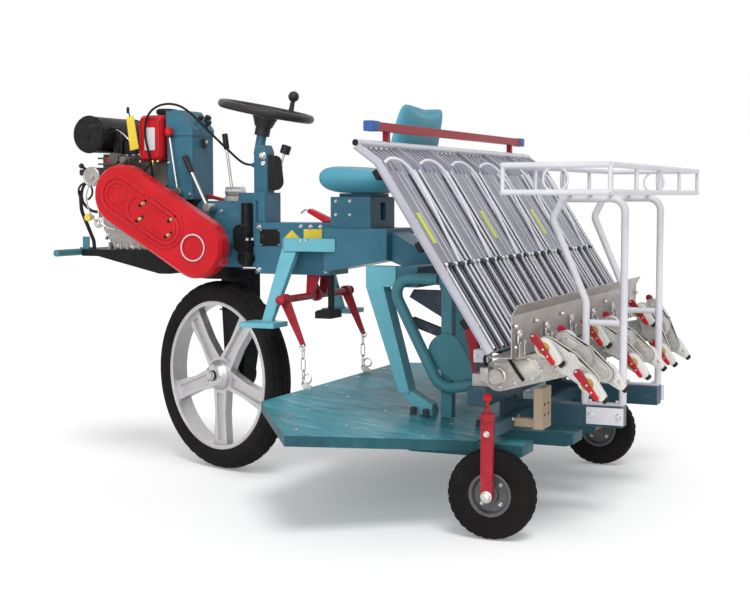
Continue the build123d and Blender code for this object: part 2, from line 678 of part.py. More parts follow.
def engine_base():
    """Black pan under the engine with the cross tube in front, the towing hole and the bent crash bar."""
    lip_x = BASE_FRONT_X - 80
    front = BASE_FRONT_X - BUMPER_R - RUN_GAP
    tray = side_plate([(BASE_REAR_X, BASE_LOW_Z), (BASE_REAR_X, BASE_TOP_Z), (front, BASE_TOP_Z),
                       (front, BASE_TOP_Z - BASE_LIP), (lip_x, BASE_TOP_Z - BASE_LIP),
                       (BASE_REAR_X + 40, BASE_LOW_Z)], -BASE_HALF, BASE_HALF)
    tray -= block(BASE_REAR_X + 60, lip_x - 30, -BASE_HALF + 34, BASE_HALF - 34, 600, 800)
    tray -= rod((TOW_X, 0, 600), (TOW_X, 0, 800), TOW_R)
    neck = block(GEARBOX_FRONT_X + RUN_GAP, BASE_REAR_X, -46, 46, BASE_TOP_Z - 38, BASE_TOP_Z)
    bar_y = BASE_HALF - 14
    route = [(CRASH_LOW_X, bar_y, BASE_TOP_Z - 12), (CRASH_LOW_X + 4, bar_y, BASE_TOP_Z + 30),
             (CRASH_TOP_X - 4, bar_y, CRASH_TOP_Z - 70), (CRASH_TOP_X, bar_y, CRASH_TOP_Z)]
    crash = bent_tube(route, [18, 70], CRASH_R)
    return tray + neck + crash


def engine():
    """Crankcase, finned barrel and head, fan housing, carburettor, drive hub and tank shelf."""
    floor = BASE_TOP_Z + RUN_GAP
    crank = side_plate([(CRANK_REAR_X, floor), (CRANK_FRONT_X - 46, floor), (CRANK_FRONT_X, floor + 72),
                        (CRANK_FRONT_X, CRANK_TOP_Z), (CRANK_REAR_X, CRANK_TOP_Z)], -CRANK_HALF, CRANK_HALF)
    crank = chamfer(crank.faces().sort_by(Axis.Y)[-1].edges(), 10)
    barrel = block(BARREL_X - 62, BARREL_X + 30, -78, 78, CRANK_TOP_Z - 20, BARREL_TOP_Z)
    step = (BARREL_TOP_Z - CRANK_TOP_Z) / FIN_COUNT
    for index in range(FIN_COUNT):
        z = CRANK_TOP_Z + (index + 0.5) * step
        barrel += block(BARREL_X - 74, BARREL_X + 40, -96, 96, z, z + FIN_THICK)
    shaft = rod((GUARD_FRONT_X, CRANK_HALF - 5, GUARD_FRONT_Z),
                (GUARD_FRONT_X, GUARD_Y - RUN_GAP, GUARD_FRONT_Z), 36)
    fan = rod((GUARD_FRONT_X + 20, -CRANK_HALF - 60, 905), (GUARD_FRONT_X + 20, -CRANK_HALF, 905), 118)
    fan = chamfer(fan.faces().sort_by(Axis.Y)[0].edges(), 14)
    fan += rod((GUARD_FRONT_X + 20, -CRANK_HALF - 74, 905), (GUARD_FRONT_X + 20, -CRANK_HALF - 60, 905), 52)
    head = block(BARREL_X - 54, BARREL_X + 34, -70, 70, BARREL_TOP_Z, CANISTER_Z - CANISTER_R - RUN_GAP - 4)
    shelf = block(TANK_REAR_X + 6, TANK_FRONT_X - 6, -60, 60, CRANK_TOP_Z, TANK_LOW_Z - RUN_GAP)
    carb = rod((CRANK_FRONT_X - 4, 96, CARB_Z), (CRANK_FRONT_X - 4, 168, CARB_Z), CARB_R)
    carb += rod((CRANK_FRONT_X - 4, 96, CARB_Z), (CRANK_FRONT_X - 4, 178, CARB_Z), CARB_R - 12)
    carb += block(CRANK_FRONT_X - 60, CRANK_FRONT_X - 4, 84, 150, CARB_Z - 34, CARB_Z - 6)
    plug = rod((CRANK_FRONT_X - 6, 102, 872), (CRANK_FRONT_X + 22, 102, 884), 9)
    rocker = rod((BARREL_X - 30, 70, BARREL_TOP_Z - 8), (BARREL_X - 30, 104, BARREL_TOP_Z - 8), 20)
    stop_x, stop_y, stop_z = CABLE_ROUTE[0]
    stop = block(stop_x - 8, stop_x + 8, stop_y - 12, stop_y + 6, CRANK_TOP_Z - 2, stop_z - RUN_GAP)
    return crank + barrel + shaft + fan + head + shelf + carb + plug + rocker + stop


def air_canister():
    can = rod((CANISTER_X, -CANISTER_HALF, CANISTER_Z), (CANISTER_X, CANISTER_HALF, CANISTER_Z), CANISTER_R)
    can = fillet(can.edges().filter_by(GeomType.CIRCLE), 12)
    stub = block(BARREL_X - 30, BARREL_X + 30, -30, 30, CANISTER_Z - CANISTER_R - 4, CANISTER_Z - 20)
    return can + stub


def fuel_tank():
    tank = block(TANK_REAR_X, TANK_FRONT_X, TANK_RIGHT_Y, TANK_LEFT_Y, TANK_LOW_Z, TANK_TOP_Z)
    tank = fillet(tank.edges(), 20)
    neck = rod((1410, 0, TANK_TOP_Z - 4), (1410, 0, TANK_TOP_Z + 16), 24)
    return tank + neck


def hood_box():
    """Closed box with an overhanging lid that slopes down toward the driver."""
    inset = HOOD_LID_OVER
    low = side_plate([(HOOD_REAR_X + inset, HOOD_LOW_Z), (HOOD_FRONT_X - inset, HOOD_LOW_Z),
                      (HOOD_FRONT_X - inset, HOOD_LID_LOW_Z), (HOOD_REAR_X + inset, HOOD_LID_LOW_Z)],
                     HOOD_RIGHT_Y + inset, HOOD_LEFT_Y - inset)
    lid = side_plate([(HOOD_REAR_X, HOOD_LID_LOW_Z), (HOOD_FRONT_X, HOOD_LID_LOW_Z),
                      (HOOD_FRONT_X, HOOD_TOP_Z),
                      (HOOD_SLOPE_X, HOOD_TOP_Z), (HOOD_REAR_X, HOOD_REAR_TOP_Z)], HOOD_RIGHT_Y, HOOD_LEFT_Y)
    return fillet(low.edges().filter_by(Axis.Z), 8) + fillet(lid.edges().filter_by(Axis.Z), 8)


def hood_stand():
    return block(GEARBOX_FRONT_X + RUN_GAP, HOOD_FRONT_X - 20, HOOD_RIGHT_Y + 10, GEARBOX_HALF,
                 BASE_TOP_Z + RUN_GAP, HOOD_LOW_Z - RUN_GAP)


def front_bumper():
    """Flattened cross tube in front of the engine base, with an upright lug near each end of the base."""
    tube = rod((BASE_FRONT_X, -BUMPER_HALF, BUMPER_Z), (BASE_FRONT_X, BUMPER_HALF, BUMPER_Z), BUMPER_R)
    top = BASE_TOP_Z + RUN_GAP
    rear = CRASH_LOW_X + 3 * CRASH_R
    strap = block(rear, BASE_FRONT_X, BASE_HALF - 34, BASE_HALF - 6, top, top + 6)
    lug = block(rear, rear + 26, BASE_HALF - 12, BASE_HALF - 6, top, top + 44)
    return tube + both_sides(strap + lug)


def guard_at(share):
    """Point on the line between the two pulleys, as a share of the way from the front one."""
    return (GUARD_FRONT_X + share * (GUARD_REAR_X - GUARD_FRONT_X),
            GUARD_FRONT_Z + share * (GUARD_REAR_Z - GUARD_FRONT_Z))


def guard_panel(radius, y0, y1):
    x, z = guard_at(GUARD_PANEL_LONG)
    return side_hull(GUARD_FRONT_X, GUARD_FRONT_Z, radius, x, z, radius - 10, y0, y1)


def belt_guard():
    """Pressed belt cover with two raised beads, a ring round the rear pulley and four bolt slots."""
    face = GUARD_Y + GUARD_THICK
    shell = side_hull(GUARD_FRONT_X, GUARD_FRONT_Z, GUARD_R, GUARD_REAR_X, GUARD_REAR_Z, GUARD_R, GUARD_Y,
                      face)
    shell = chamfer(shell.faces().sort_by(Axis.Y)[-1].edges(), GUARD_EDGE, GUARD_EDGE * 0.7)
    for radius in (GUARD_PANEL_R, GUARD_PANEL_R - 16):
        bead = guard_panel(radius, face - 1, face + GUARD_RIDGE)
        shell += bead - guard_panel(radius - GUARD_RIDGE_WIDE, face - 2, face + 10)
    ring_at = (GUARD_REAR_X, GUARD_REAR_Z)
    ring = rod((ring_at[0], face - 1, ring_at[1]), (ring_at[0], face + GUARD_RIDGE, ring_at[1]),
               GUARD_RING_R)
    ring -= rod((ring_at[0], face, ring_at[1]), (ring_at[0], face + 10, ring_at[1]),
                GUARD_RING_R - GUARD_RIDGE_WIDE)
    shell += ring
    slope = atan2(GUARD_FRONT_Z - GUARD_REAR_Z, GUARD_FRONT_X - GUARD_REAR_X)
    reach = GUARD_SLOT_LONG / 2 - GUARD_SLOT_R
    for dx in (-GUARD_SLOT_DX, GUARD_SLOT_DX):
        for dz in (-GUARD_SLOT_DZ, GUARD_SLOT_DZ):
            x = GUARD_SLOT_X + dx - 0.25 * dz
            z = GUARD_SLOT_Z + dz + 0.47 * dx
            shell -= side_hull(x - reach * cos(slope), z + reach * sin(slope), GUARD_SLOT_R,
                               x + reach * cos(slope), z - reach * sin(slope), GUARD_SLOT_R,
                               face - 12, face + 10)
    return shell


def footrests():
    """Foot plates on tapered arms that hang from wings bolted to the beam's sides."""
    low = STEP_Z - STEP_THICK / 2
    face = BEAM_HALF + RUN_GAP
    seat_face = SEAT_BEAM_HALF + RUN_GAP
    plate = block(STEP_X - STEP_LONG / 2, STEP_X + STEP_LONG / 2, STEP_Y - STEP_WIDE / 2,
                  STEP_Y + STEP_WIDE / 2,
                  low, low + STEP_THICK)
    plate = fillet(plate.edges().filter_by(Axis.Z), 6)
    wing_low = WING_TOP_Z - WING_DEEP
    wing = plan_plate([(WING_FRONT_X, face), (WING_FRONT_X, WING_HALF - 12), (WING_FRONT_X - 12, WING_HALF),
                       (WING_REAR_X + 26, WING_HALF), (WING_REAR_X, seat_face + 4), (WING_REAR_X, seat_face),
                       (BEAM_REAR_X + RUN_GAP, seat_face), (BEAM_REAR_X + RUN_GAP, face)],
                      wing_low, WING_TOP_Z)
    top_half, low_half = STEP_ARM_TOP / 2, STEP_ARM_LOW / 2
    start_y, end_y = WING_HALF - 30, STEP_Y - 18
    arm = loft([Pos(STEP_X - 2, start_y, wing_low + 12) * Rectangle(2 * top_half, 30),
                Pos(STEP_X - 2, end_y, low + 2) * Rectangle(2 * low_half, 24)])
    return both_sides(plate + wing + arm)


def lift_shaft():
    """Cross shaft under the beam with a tapered arm and an eye for the chain at each end."""
    shaft = rod((LIFT_X, -LIFT_HALF, LIFT_Z), (LIFT_X, LIFT_HALF, LIFT_Z), LIFT_R)
    low, high = LIFT_ARM_Y - LIFT_ARM_THICK / 2, LIFT_ARM_Y + LIFT_ARM_THICK / 2
    arm = side_hull(LIFT_X, LIFT_Z, LIFT_R + 6, LIFT_TIP_X, LIFT_TIP_Z, LIFT_EYE_R + EYE_RIM, low, high)
    arm -= rod((LIFT_TIP_X, low - 1, LIFT_TIP_Z), (LIFT_TIP_X, high + 1, LIFT_TIP_Z), LIFT_EYE_R)
    boss = rod((LIFT_X, low - 12, LIFT_Z), (LIFT_X, high + 8, LIFT_Z), LIFT_R + 6)
    hanger = side_plate([(LIFT_X - 36, BEAM_LOW_Z - RUN_GAP), (LIFT_X + 8, BEAM_LOW_Z - RUN_GAP),
                         (LIFT_X + 12, LIFT_Z), (LIFT_X - 12, LIFT_Z)], 44, 58)
    ram = side_hull(LIFT_X + 18, LIFT_Z + 42, 14, LIFT_X, LIFT_Z, 20, -8, 8)
    return shaft + both_sides(arm + boss + hanger) + ram


def chain_link(long, across):
    """Oval wire link, its length taken between the middles of its two bends."""
    straight = long - 2 * CHAIN_BEND_R
    link = Pos(CHAIN_BEND_R, 0, 0) * Cylinder(CHAIN_WIRE_R, straight)
    link += Pos(-CHAIN_BEND_R, 0, 0) * Cylinder(CHAIN_WIRE_R, straight)
    for up in (-1, 1):
        bend = Rot(90, 0, 0) * Torus(CHAIN_BEND_R, CHAIN_WIRE_R)
        bend -= Pos(0, 0, -up * 5 * CHAIN_BEND_R) * Box(*[10 * CHAIN_BEND_R] * 3)
        link += Pos(0, 0, up * straight / 2) * bend
    return Rot(0, 0, 90) * link if across else link


def chains():
    """Lift chains: links that hang in each other from the arms' eyes down to lugs on the deck."""
    half_thick = LIFT_ARM_THICK / 2
    bend_drop = CHAIN_BEND_R - (CHAIN_BEND_R ** 2 - half_thick ** 2) ** 0.5
    off_centre = LIFT_EYE_R - RUN_GAP - CHAIN_WIRE_R - bend_drop
    eye_z = DECK_TOP_Z + RUN_GAP + LUG_RISE
    top, low = LIFT_TIP_Z - off_centre, eye_z + off_centre
    lap = 2 * CHAIN_WIRE_R + RUN_GAP
    long = (top - low + (CHAIN_LINKS - 1) * lap) / CHAIN_LINKS
    pieces = []
    for side in (-1, 1):
        y = side * LIFT_ARM_Y
        for index in range(CHAIN_LINKS):
            z = top - long / 2 - index * (long - lap)
            pieces.append(Pos(LIFT_TIP_X, y, z) * chain_link(long, index % 2 == 0))
        lug = side_plate([(LIFT_TIP_X, eye_z + LIFT_EYE_R + EYE_RIM), (LIFT_TIP_X + 8, eye_z),
                          (LIFT_TIP_X - 2, DECK_TOP_Z),
                          (LIFT_TIP_X - LUG_LONG, DECK_TOP_Z - 8), (LIFT_TIP_X - LUG_LONG, eye_z - 6),
                          (LIFT_TIP_X - 8, eye_z + LIFT_EYE_R + 2)], y - half_thick, y + half_thick)
        lug -= rod((LIFT_TIP_X, y - 10, eye_z), (LIFT_TIP_X, y + 10, eye_z), LIFT_EYE_R)
        lug -= side_plate([(0, deck_top(0) + RUN_GAP), (1000, deck_top(1000) + RUN_GAP), (1000, 0), (0, 0)],
                          y - 10, y + 10)
        pieces.append(lug)
    return Compound(children=pieces)


def cable_radii(points):
    """Largest bend at each inner point of a cable's route that its two runs leave room for."""
    radii = []
    for before, here, after in zip(points, points[1:], points[2:]):
        run_in, run_out = Vector(*here) - Vector(*before), Vector(*after) - Vector(*here)
        half_turn = radians(run_in.get_angle(run_out)) / 2
        radii.append(0.45 * min(run_in.length, run_out.length) / tan(half_turn))
    return radii


def throttle_cable():
    """Sheathed cable from the stop on the engine, over the tank and the hood, to the column's gland."""
    radii = cable_radii(CABLE_ROUTE)
    print("throttle cable bends, mm:", [round(radius) for radius in radii])
    return bent_tube(CABLE_ROUTE, radii, CABLE_R)


def pedals():
    """Brake pedal hung below the beam, and the clutch pedal's pad on top of it."""
    pad = block(PEDAL_X - 30, PEDAL_X + 30, PEDAL_Y - 46, PEDAL_Y + 46, 548, 570)
    stem = block(PEDAL_X - 6, PEDAL_X + 10, PEDAL_Y - 34, PEDAL_Y - 18, 570, BEAM_LOW_Z - RUN_GAP)
    top = side_plate([(790, BEAM_TOP_Z + RUN_GAP), (812, BEAM_TOP_Z + RUN_GAP), (868, BEAM_TOP_Z + 34),
                      (862, BEAM_TOP_Z + 42), (800, BEAM_TOP_Z + 14)], -50, -22)
    return fillet(pad.edges().filter_by(Axis.Z), 8) + stem + top


def pontoon():
    deck = plan_plate([(DECK_FRONT_X, -DECK_FRONT_HALF), (DECK_FRONT_X, DECK_FRONT_HALF),
                       (DECK_WIDE_X, DECK_HALF), (DECK_REAR_X, DECK_REAR_HALF),
                       (DECK_REAR_X, -DECK_REAR_HALF), (DECK_WIDE_X, -DECK_HALF)],
                      0, 400)
    drop = (DECK_TOP_Z - DECK_REAR_TOP_Z) / (DECK_FRONT_X - DECK_REAR_X)
    far = 400
    top_rear = DECK_REAR_TOP_Z - far * drop
    top_front = DECK_TOP_Z + far * drop
    slab = side_plate([(DECK_REAR_X - far, top_rear), (DECK_FRONT_X + far, top_front),
                       (DECK_FRONT_X + far, top_front - DECK_THICK),
                       (DECK_REAR_X - far, top_rear - DECK_THICK)],
                      -1000, 1000)
    board = deck & slab
    for y, rear_x in ((0, -150), (250, -148), (495, -72)):
        skid = side_plate([(SKID_FRONT_X, deck_top(SKID_FRONT_X) - 12), (DECK_REAR_X, DECK_REAR_TOP_Z - 4),
                           (rear_x, DECK_REAR_TOP_Z - 6), (rear_x, SKID_LOW_Z + 8),
                           (rear_x + 20, SKID_LOW_Z), (DECK_REAR_X + 200, SKID_LOW_Z),
                           (SKID_FRONT_X - 40, deck_top(SKID_FRONT_X) - DECK_THICK - 4)],
                          y - SKID_HALF, y + SKID_HALF)
        board += skid if y == 0 else both_sides(skid)
    return board


def deck_top(x):
    share = (x - DECK_REAR_X) / (DECK_FRONT_X - DECK_REAR_X)
    return DECK_REAR_TOP_Z + share * (DECK_TOP_Z - DECK_REAR_TOP_Z)


def tool_frame():
    half = TOOL_BEAM_SIDE / 2
    cross = block(TOOL_BEAM_X - half, TOOL_BEAM_X + half, -560, 560, TOOL_BEAM_Z - half, TOOL_BEAM_Z + half)
    side = TAIL_BEAM_SIDE / 2
    tail = block(TAIL_BEAM_REAR_X, TOOL_BEAM_X + half, TAIL_BEAM_Y - side, TAIL_BEAM_Y + side,
                 TAIL_BEAM_Z - side, TAIL_BEAM_Z + side)
    drop = block(TOOL_BEAM_X - half, TOOL_BEAM_X + half, TAIL_BEAM_Y - side, TAIL_BEAM_Y + side,
                 TAIL_BEAM_Z + side, TOOL_BEAM_Z - half)
    axle_half = REAR_Y + REAR_WIDTH / 2 + MOVE_GAP - RUN_GAP
    axle = block(-20, 20, -axle_half, axle_half, TAIL_BEAM_Z - 18, TAIL_BEAM_Z + 18)
    return cross + axle + both_sides(tail + drop)


def side_bracket():
    """Spare mounting bracket: a channel with four slots, on a stay from the axle beam."""
    rear, front = BRACKET_X, BRACKET_X + 26
    left, right = BRACKET_Y + BRACKET_WIDE / 2, BRACKET_Y - BRACKET_WIDE / 2
    plate = block(rear, rear + BRACKET_SHEET, right, left, BRACKET_LOW_Z, BRACKET_TOP_Z)
    for y in (right, left - BRACKET_SHEET):
        plate += block(rear, front, y, y + BRACKET_SHEET, BRACKET_LOW_Z, BRACKET_TOP_Z)
    reach = (BRACKET_SLOT - 2 * BRACKET_SLOT_R) / 2
    for y in (-BRACKET_SLOT_DY / 2, BRACKET_SLOT_DY / 2):
        for z in (-BRACKET_SLOT_DZ / 2, BRACKET_SLOT_DZ / 2):
            at_y, at_z = BRACKET_Y + y, BRACKET_SLOT_Z + z
            for end in (-reach, reach):
                plate -= rod((rear - 5, at_y + end, at_z), (rear + 15, at_y + end, at_z), BRACKET_SLOT_R)
            plate -= block(rear - 5, rear + 15, at_y - reach, at_y + reach,
                           at_z - BRACKET_SLOT_R, at_z + BRACKET_SLOT_R)
    stay = block(rear + BRACKET_SHEET, -20 - RUN_GAP, BRACKET_Y - 12, BRACKET_Y + 12, BRACKET_LOW_Z,
                 BRACKET_LOW_Z + 24)
    return plate + stay


def tray_point(along, lift):
    """Point on the tray's side view: along from its lower end, lift square to its floor."""
    return (TRAY_LOW_X + along * cos(SLOPE) - lift * sin(SLOPE),
            TRAY_LOW_Z + along * sin(SLOPE) + lift * cos(SLOPE))


TRAY_LONG = ((TRAY_TOP_X - TRAY_LOW_X) ** 2 + (TRAY_TOP_Z - TRAY_LOW_Z) ** 2) ** 0.5
CURL_LONG = 76.0
CURL_DEG = 22.0


def tray_strip(low, high, y0, y1):
    """Slab that follows the tray's floor and its flatter upper end, from low to high above the floor."""
    turn = SLOPE - radians(CURL_DEG)
    low_end, high_end = tray_point(0, low), tray_point(0, high)
    low_bend, high_bend = tray_point(TRAY_LONG, low), tray_point(TRAY_LONG, high)
    step = (CURL_LONG * cos(turn), CURL_LONG * sin(turn))
    low_top = (low_bend[0] + step[0], low_bend[1] + step[1])
    high_top = (high_bend[0] + step[0], high_bend[1] + step[1])
    return side_plate([low_end, low_bend, low_top, high_top, high_bend, high_end], y0, y1)


def tray_floor():
    return tray_strip(-RIB_HIGH - TRAY_FLOOR, -RIB_HIGH, -TRAY_HALF, TRAY_HALF)


def tray_ribs():
    """Lengthwise ribs, low between the rows' edges and on each row's floor."""
    spacing = ROW_PITCH / RIBS_PER_ROW
    ribs = []
    for row in range(ROW_COUNT):
        first = (row - ROW_COUNT / 2) * ROW_PITCH
        for index in range(1, RIBS_PER_ROW):
            y = first + index * spacing
            ribs.append(tray_strip(-RIB_HIGH, -RIB_HIGH + 8, y - RIB_THICK / 2, y + RIB_THICK / 2))
    return Compound(children=ribs)


def tray_walls():
    walls = []
    for edge in range(ROW_COUNT + 1):
        y = (edge - ROW_COUNT / 2) * ROW_PITCH
        y = max(-TRAY_HALF + 4, min(TRAY_HALF - 4, y))
        walls.append(tray_strip(-RIB_HIGH, 0, y - 4, y + 4))
    return Compound(children=walls)


def tray_frame():
    """Cross members under the floor and the round rail on top."""
    members = []
    for along in (90, 330, 560):
        low = tray_point(along, -RIB_HIGH - TRAY_FLOOR)
        high = tray_point(along + TRAY_CROSS, -RIB_HIGH - TRAY_FLOOR)
        out_high = tray_point(along + TRAY_CROSS, -RIB_HIGH - TRAY_FLOOR - TRAY_CROSS)
        out_low = tray_point(along, -RIB_HIGH - TRAY_FLOOR - TRAY_CROSS)
        members.append(side_plate([low, high, out_high, out_low],
                                  -TRAY_HALF + TRAY_CROSS, TRAY_HALF - TRAY_CROSS))
    guide = guide_at()
    for side in (-1, 1):
        shoe_y = side * SHOE_Y
        shoe = side_plate([tray_point(GUIDE_ALONG - SHOE_HALF, -RIB_HIGH - TRAY_FLOOR),
                           tray_point(GUIDE_ALONG + SHOE_HALF, -RIB_HIGH - TRAY_FLOOR),
                           tray_point(GUIDE_ALONG + SHOE_HALF, -RIB_HIGH - TRAY_FLOOR - SHOE_DEEP),
                           tray_point(GUIDE_ALONG - SHOE_HALF, -RIB_HIGH - TRAY_FLOOR - SHOE_DEEP)],
                          shoe_y - SHOE_WIDE / 2, shoe_y + SHOE_WIDE / 2)
        members.append(shoe - rod((guide[0], shoe_y - SHOE_WIDE, guide[1]),
                                  (guide[0], shoe_y + SHOE_WIDE, guide[1]), GUIDE_R + PIN_GAP))
    top = curl_top()
    members.append(rod((top[0], -TRAY_HALF, top[1]), (top[0], TRAY_HALF, top[1]), TRAY_RAIL_R))
    return Compound(children=members)


def curl_top():
    turn = SLOPE - radians(CURL_DEG)
    bend = tray_point(TRAY_LONG, -RIB_HIGH / 2)
    away = TRAY_RAIL_R + RUN_GAP
    return (bend[0] + CURL_LONG * cos(turn) + away * cos(SLOPE),
            bend[1] + CURL_LONG * sin(turn) + away * sin(SLOPE))


def tray_bar():
    x, z = curl_top()
    half = BAR_SIDE / 2
    beam = block(x - half, x + half, -BAR_HALF, BAR_HALF, BAR_Z - half, BAR_Z + half)
    for y in (-560, 560):
        beam += block(x - 8, x + 8, y - 9, y + 9, z + TRAY_RAIL_R, BAR_Z - half)
    return beam


def guide_at():
    return tray_point(GUIDE_ALONG, -RIB_HIGH - TRAY_FLOOR - MOVE_GAP - GUIDE_R)


def tray_support():
    """Red struts from the tool beam with the guide tube that the tray slides along."""
    guide = guide_at()
    tube = rod((guide[0], -GUIDE_HALF, guide[1]), (guide[0], GUIDE_HALF, guide[1]), GUIDE_R)
    strut = bar((TOOL_BEAM_X + 60, 360, TOOL_BEAM_Z + TOOL_BEAM_SIDE / 2), (guide[0] + 4, 360, guide[1]),
                22, 30)
    foot = block(TOOL_BEAM_X - 20, TOOL_BEAM_X + 76, 345, 375, TOOL_BEAM_Z + TOOL_BEAM_SIDE / 2,
                 TOOL_BEAM_Z + TOOL_BEAM_SIDE / 2 + 14)
    return tube + both_sides(strut + foot)


def tray_rail():
    """Folded sheet that holds the mats' lower edge, with a gate at each row."""
    x, t = RAIL_X, RAIL_SHEET
    sheet = side_plate([(x, RAIL_LOW_Z), (x, RAIL_FOLD_Z), (x - 16, RAIL_TOP_Z),
                        (x - 16 + t, RAIL_TOP_Z + 1),
                        (x + t, RAIL_FOLD_Z + 1), (x + t, RAIL_LOW_Z + t), (x + RAIL_SHELF, RAIL_LOW_Z + t),
                        (x + RAIL_SHELF, RAIL_LOW_Z)], -RAIL_HALF, RAIL_HALF)
    for row in range(ROW_COUNT):
        y = (row - (ROW_COUNT - 1) / 2) * ROW_PITCH
        sheet -= block(x - 30, x + 30, y - GATE_WIDE / 2, y + GATE_WIDE / 2, RAIL_LOW_Z - 5,
                       RAIL_LOW_Z + GATE_HIGH)
    return sheet


def planting_cases():
    """One cast case to each pair of rows, and the tube that drives them through their front bosses."""
    front_x, front_z = CASE_FRONT_X, CASE_FRONT_Z
    case = side_hull(front_x, front_z, CASE_FRONT_R, PLANT_X, PLANT_Z, CASE_REAR_R, -CASE_HALF, CASE_HALF)
    case -= rod((PLANT_X, -200, PLANT_Z), (PLANT_X, 200, PLANT_Z), ROTOR_SHAFT_R + PIN_GAP)
    foot = block(front_x - 20, TOOL_BEAM_X + 20, -24, 24, TOOL_BEAM_Z + TOOL_BEAM_SIDE / 2 + RUN_GAP,
                 front_z)
    horn = block(RAIL_X + 10, RAIL_X + RAIL_SHELF - 8, -20, 20, front_z + 20, RAIL_LOW_Z - RUN_GAP)
    cases = rod((front_x, -CASE_PITCH - 60, front_z), (front_x, CASE_PITCH + 60, front_z), CASE_TUBE_R)
    for index in (-1, 0, 1):
        cases += Pos(0, index * CASE_PITCH, 0) * (case + foot + horn)
    return cases


def arm_pivot(end, turn_deg):
    """Where a pair of arms pivots in side view, from the rotor's own axis."""
    turn = radians(turn_deg)
    x, z = end * ARM_AHEAD, end * ARM_RISE
    return (x * cos(turn) - z * sin(turn), x * sin(turn) + z * cos(turn))


def rotor(centre_y, turn_deg):
    """Gear box at each side of the case on one shaft, with a pin for each planting arm."""
    reach = ROW_PITCH / 2 - ROTOR_INSET
    piece = rod((0, -reach, 0), (0, reach, 0), ROTOR_SHAFT_R)
    for side in (-1, 1):
        inner, outer = side * (reach - ROTOR_THICK), side * reach
        y0, y1 = min(inner, outer), max(inner, outer)
        box = rod((0, inner - side * 3, 0), (0, outer, 0), ROTOR_R)
        for end in (-1, 1):
            x, z = arm_pivot(end, turn_deg)
            box += side_hull(0, 0, ROTOR_R - 4, x, z, ROTOR_END_R, y0, y1)
            box += rod((x, outer, z), (x, outer + side * ARM_PIN_LONG, z), ARM_PIN_R)
        piece += box
    return Pos(PLANT_X, centre_y, PLANT_Z) * piece


def arms(centre_y, end, turn_deg):
    """Pair of planting arms at one end of a rotor: cast body with a rounded nose, and the claw beside it."""
    pair = []
    for side in (-1, 1):
        y0 = side * (ROW_PITCH / 2 - ROTOR_INSET + ARM_GAP)
        y1 = y0 + side * ARM_THICK
        low, high = min(y0, y1), max(y0, y1)
        body = side_hull(0, 0, ARM_BODY_R, -38, -35, 13, low, high)
        body += rod((-34, (y0 + y1) / 2, -31), (-52, (y0 + y1) / 2, -48), NOSE_R)
        body -= rod((0, low - 1, 0), (0, high + 1, 0), ARM_PIN_R + PIN_GAP)
        claw_y = y1 + side * CLAW_WIDE
        claw = side_hull(22, 26, 11, -29, -41, 6, min(y1, claw_y), max(y1, claw_y))
        pair.append(body + claw)
    x, z = arm_pivot(end, turn_deg)
    return Pos(PLANT_X + x, centre_y, PLANT_Z + z) * Compound(children=pair)


def rack_frames():
    start = (RACK_FRONT_X, RACK_Y, RACK_FOOT_Z)
    route = [start, (RACK_FRONT_X, RACK_Y, 640), (RACK_BULGE_X, RACK_Y, 880),
             (RACK_BULGE_X - 30, RACK_Y, RACK_TOP_Z), (RACK_REAR_X, RACK_Y, RACK_TOP_Z),
             (RACK_REAR_X, RACK_Y, RACK_FOOT_Z)]
    loop = bent_tube(route, [60, 30, 24, 40], RACK_R)
    rung = rod((RACK_FRONT_X - RACK_R, RACK_Y, RACK_BAR_Z), (RACK_REAR_X + RACK_R, RACK_Y, RACK_BAR_Z),
               RACK_R - 2)
    foot = block(RACK_REAR_X - 4, RACK_FRONT_X + 4, RACK_Y - 15, RACK_Y + 15,
                 TAIL_BEAM_Z + TAIL_BEAM_SIDE / 2 + RUN_GAP,
                 RACK_FOOT_Z)
    return both_sides(loop + rung + foot)


def basket():
    rear, front = REAR_END_X + BASKET_R, BASKET_FRONT_X
    solids = []
    low, high = BASKET_LOW_Z, BASKET_TOP_Z
    for z in (low, high):
        solids.append(rod((rear, -BASKET_HALF, z), (rear, BASKET_HALF, z), BASKET_R))
        solids.append(rod((front, -BASKET_HALF, z), (front, BASKET_HALF, z), BASKET_R))
        for y in (-BASKET_HALF, BASKET_HALF):
            solids.append(rod((rear, y, z), (front, y, z), BASKET_R))
    for index in range(BASKET_POSTS + 1):
        y = -BASKET_HALF + index * 2 * BASKET_HALF / BASKET_POSTS
        for x in (rear, front):
            solids.append(rod((x, y, low), (x, y, high), BASKET_WIRE_R))
    for x in (-240, -180, -120):
        solids.append(rod((x, -BASKET_HALF, low), (x, BASKET_HALF, low), BASKET_WIRE_R))
    whole = solids[0]
    for solid in solids[1:]:
        whole += solid
    return whole


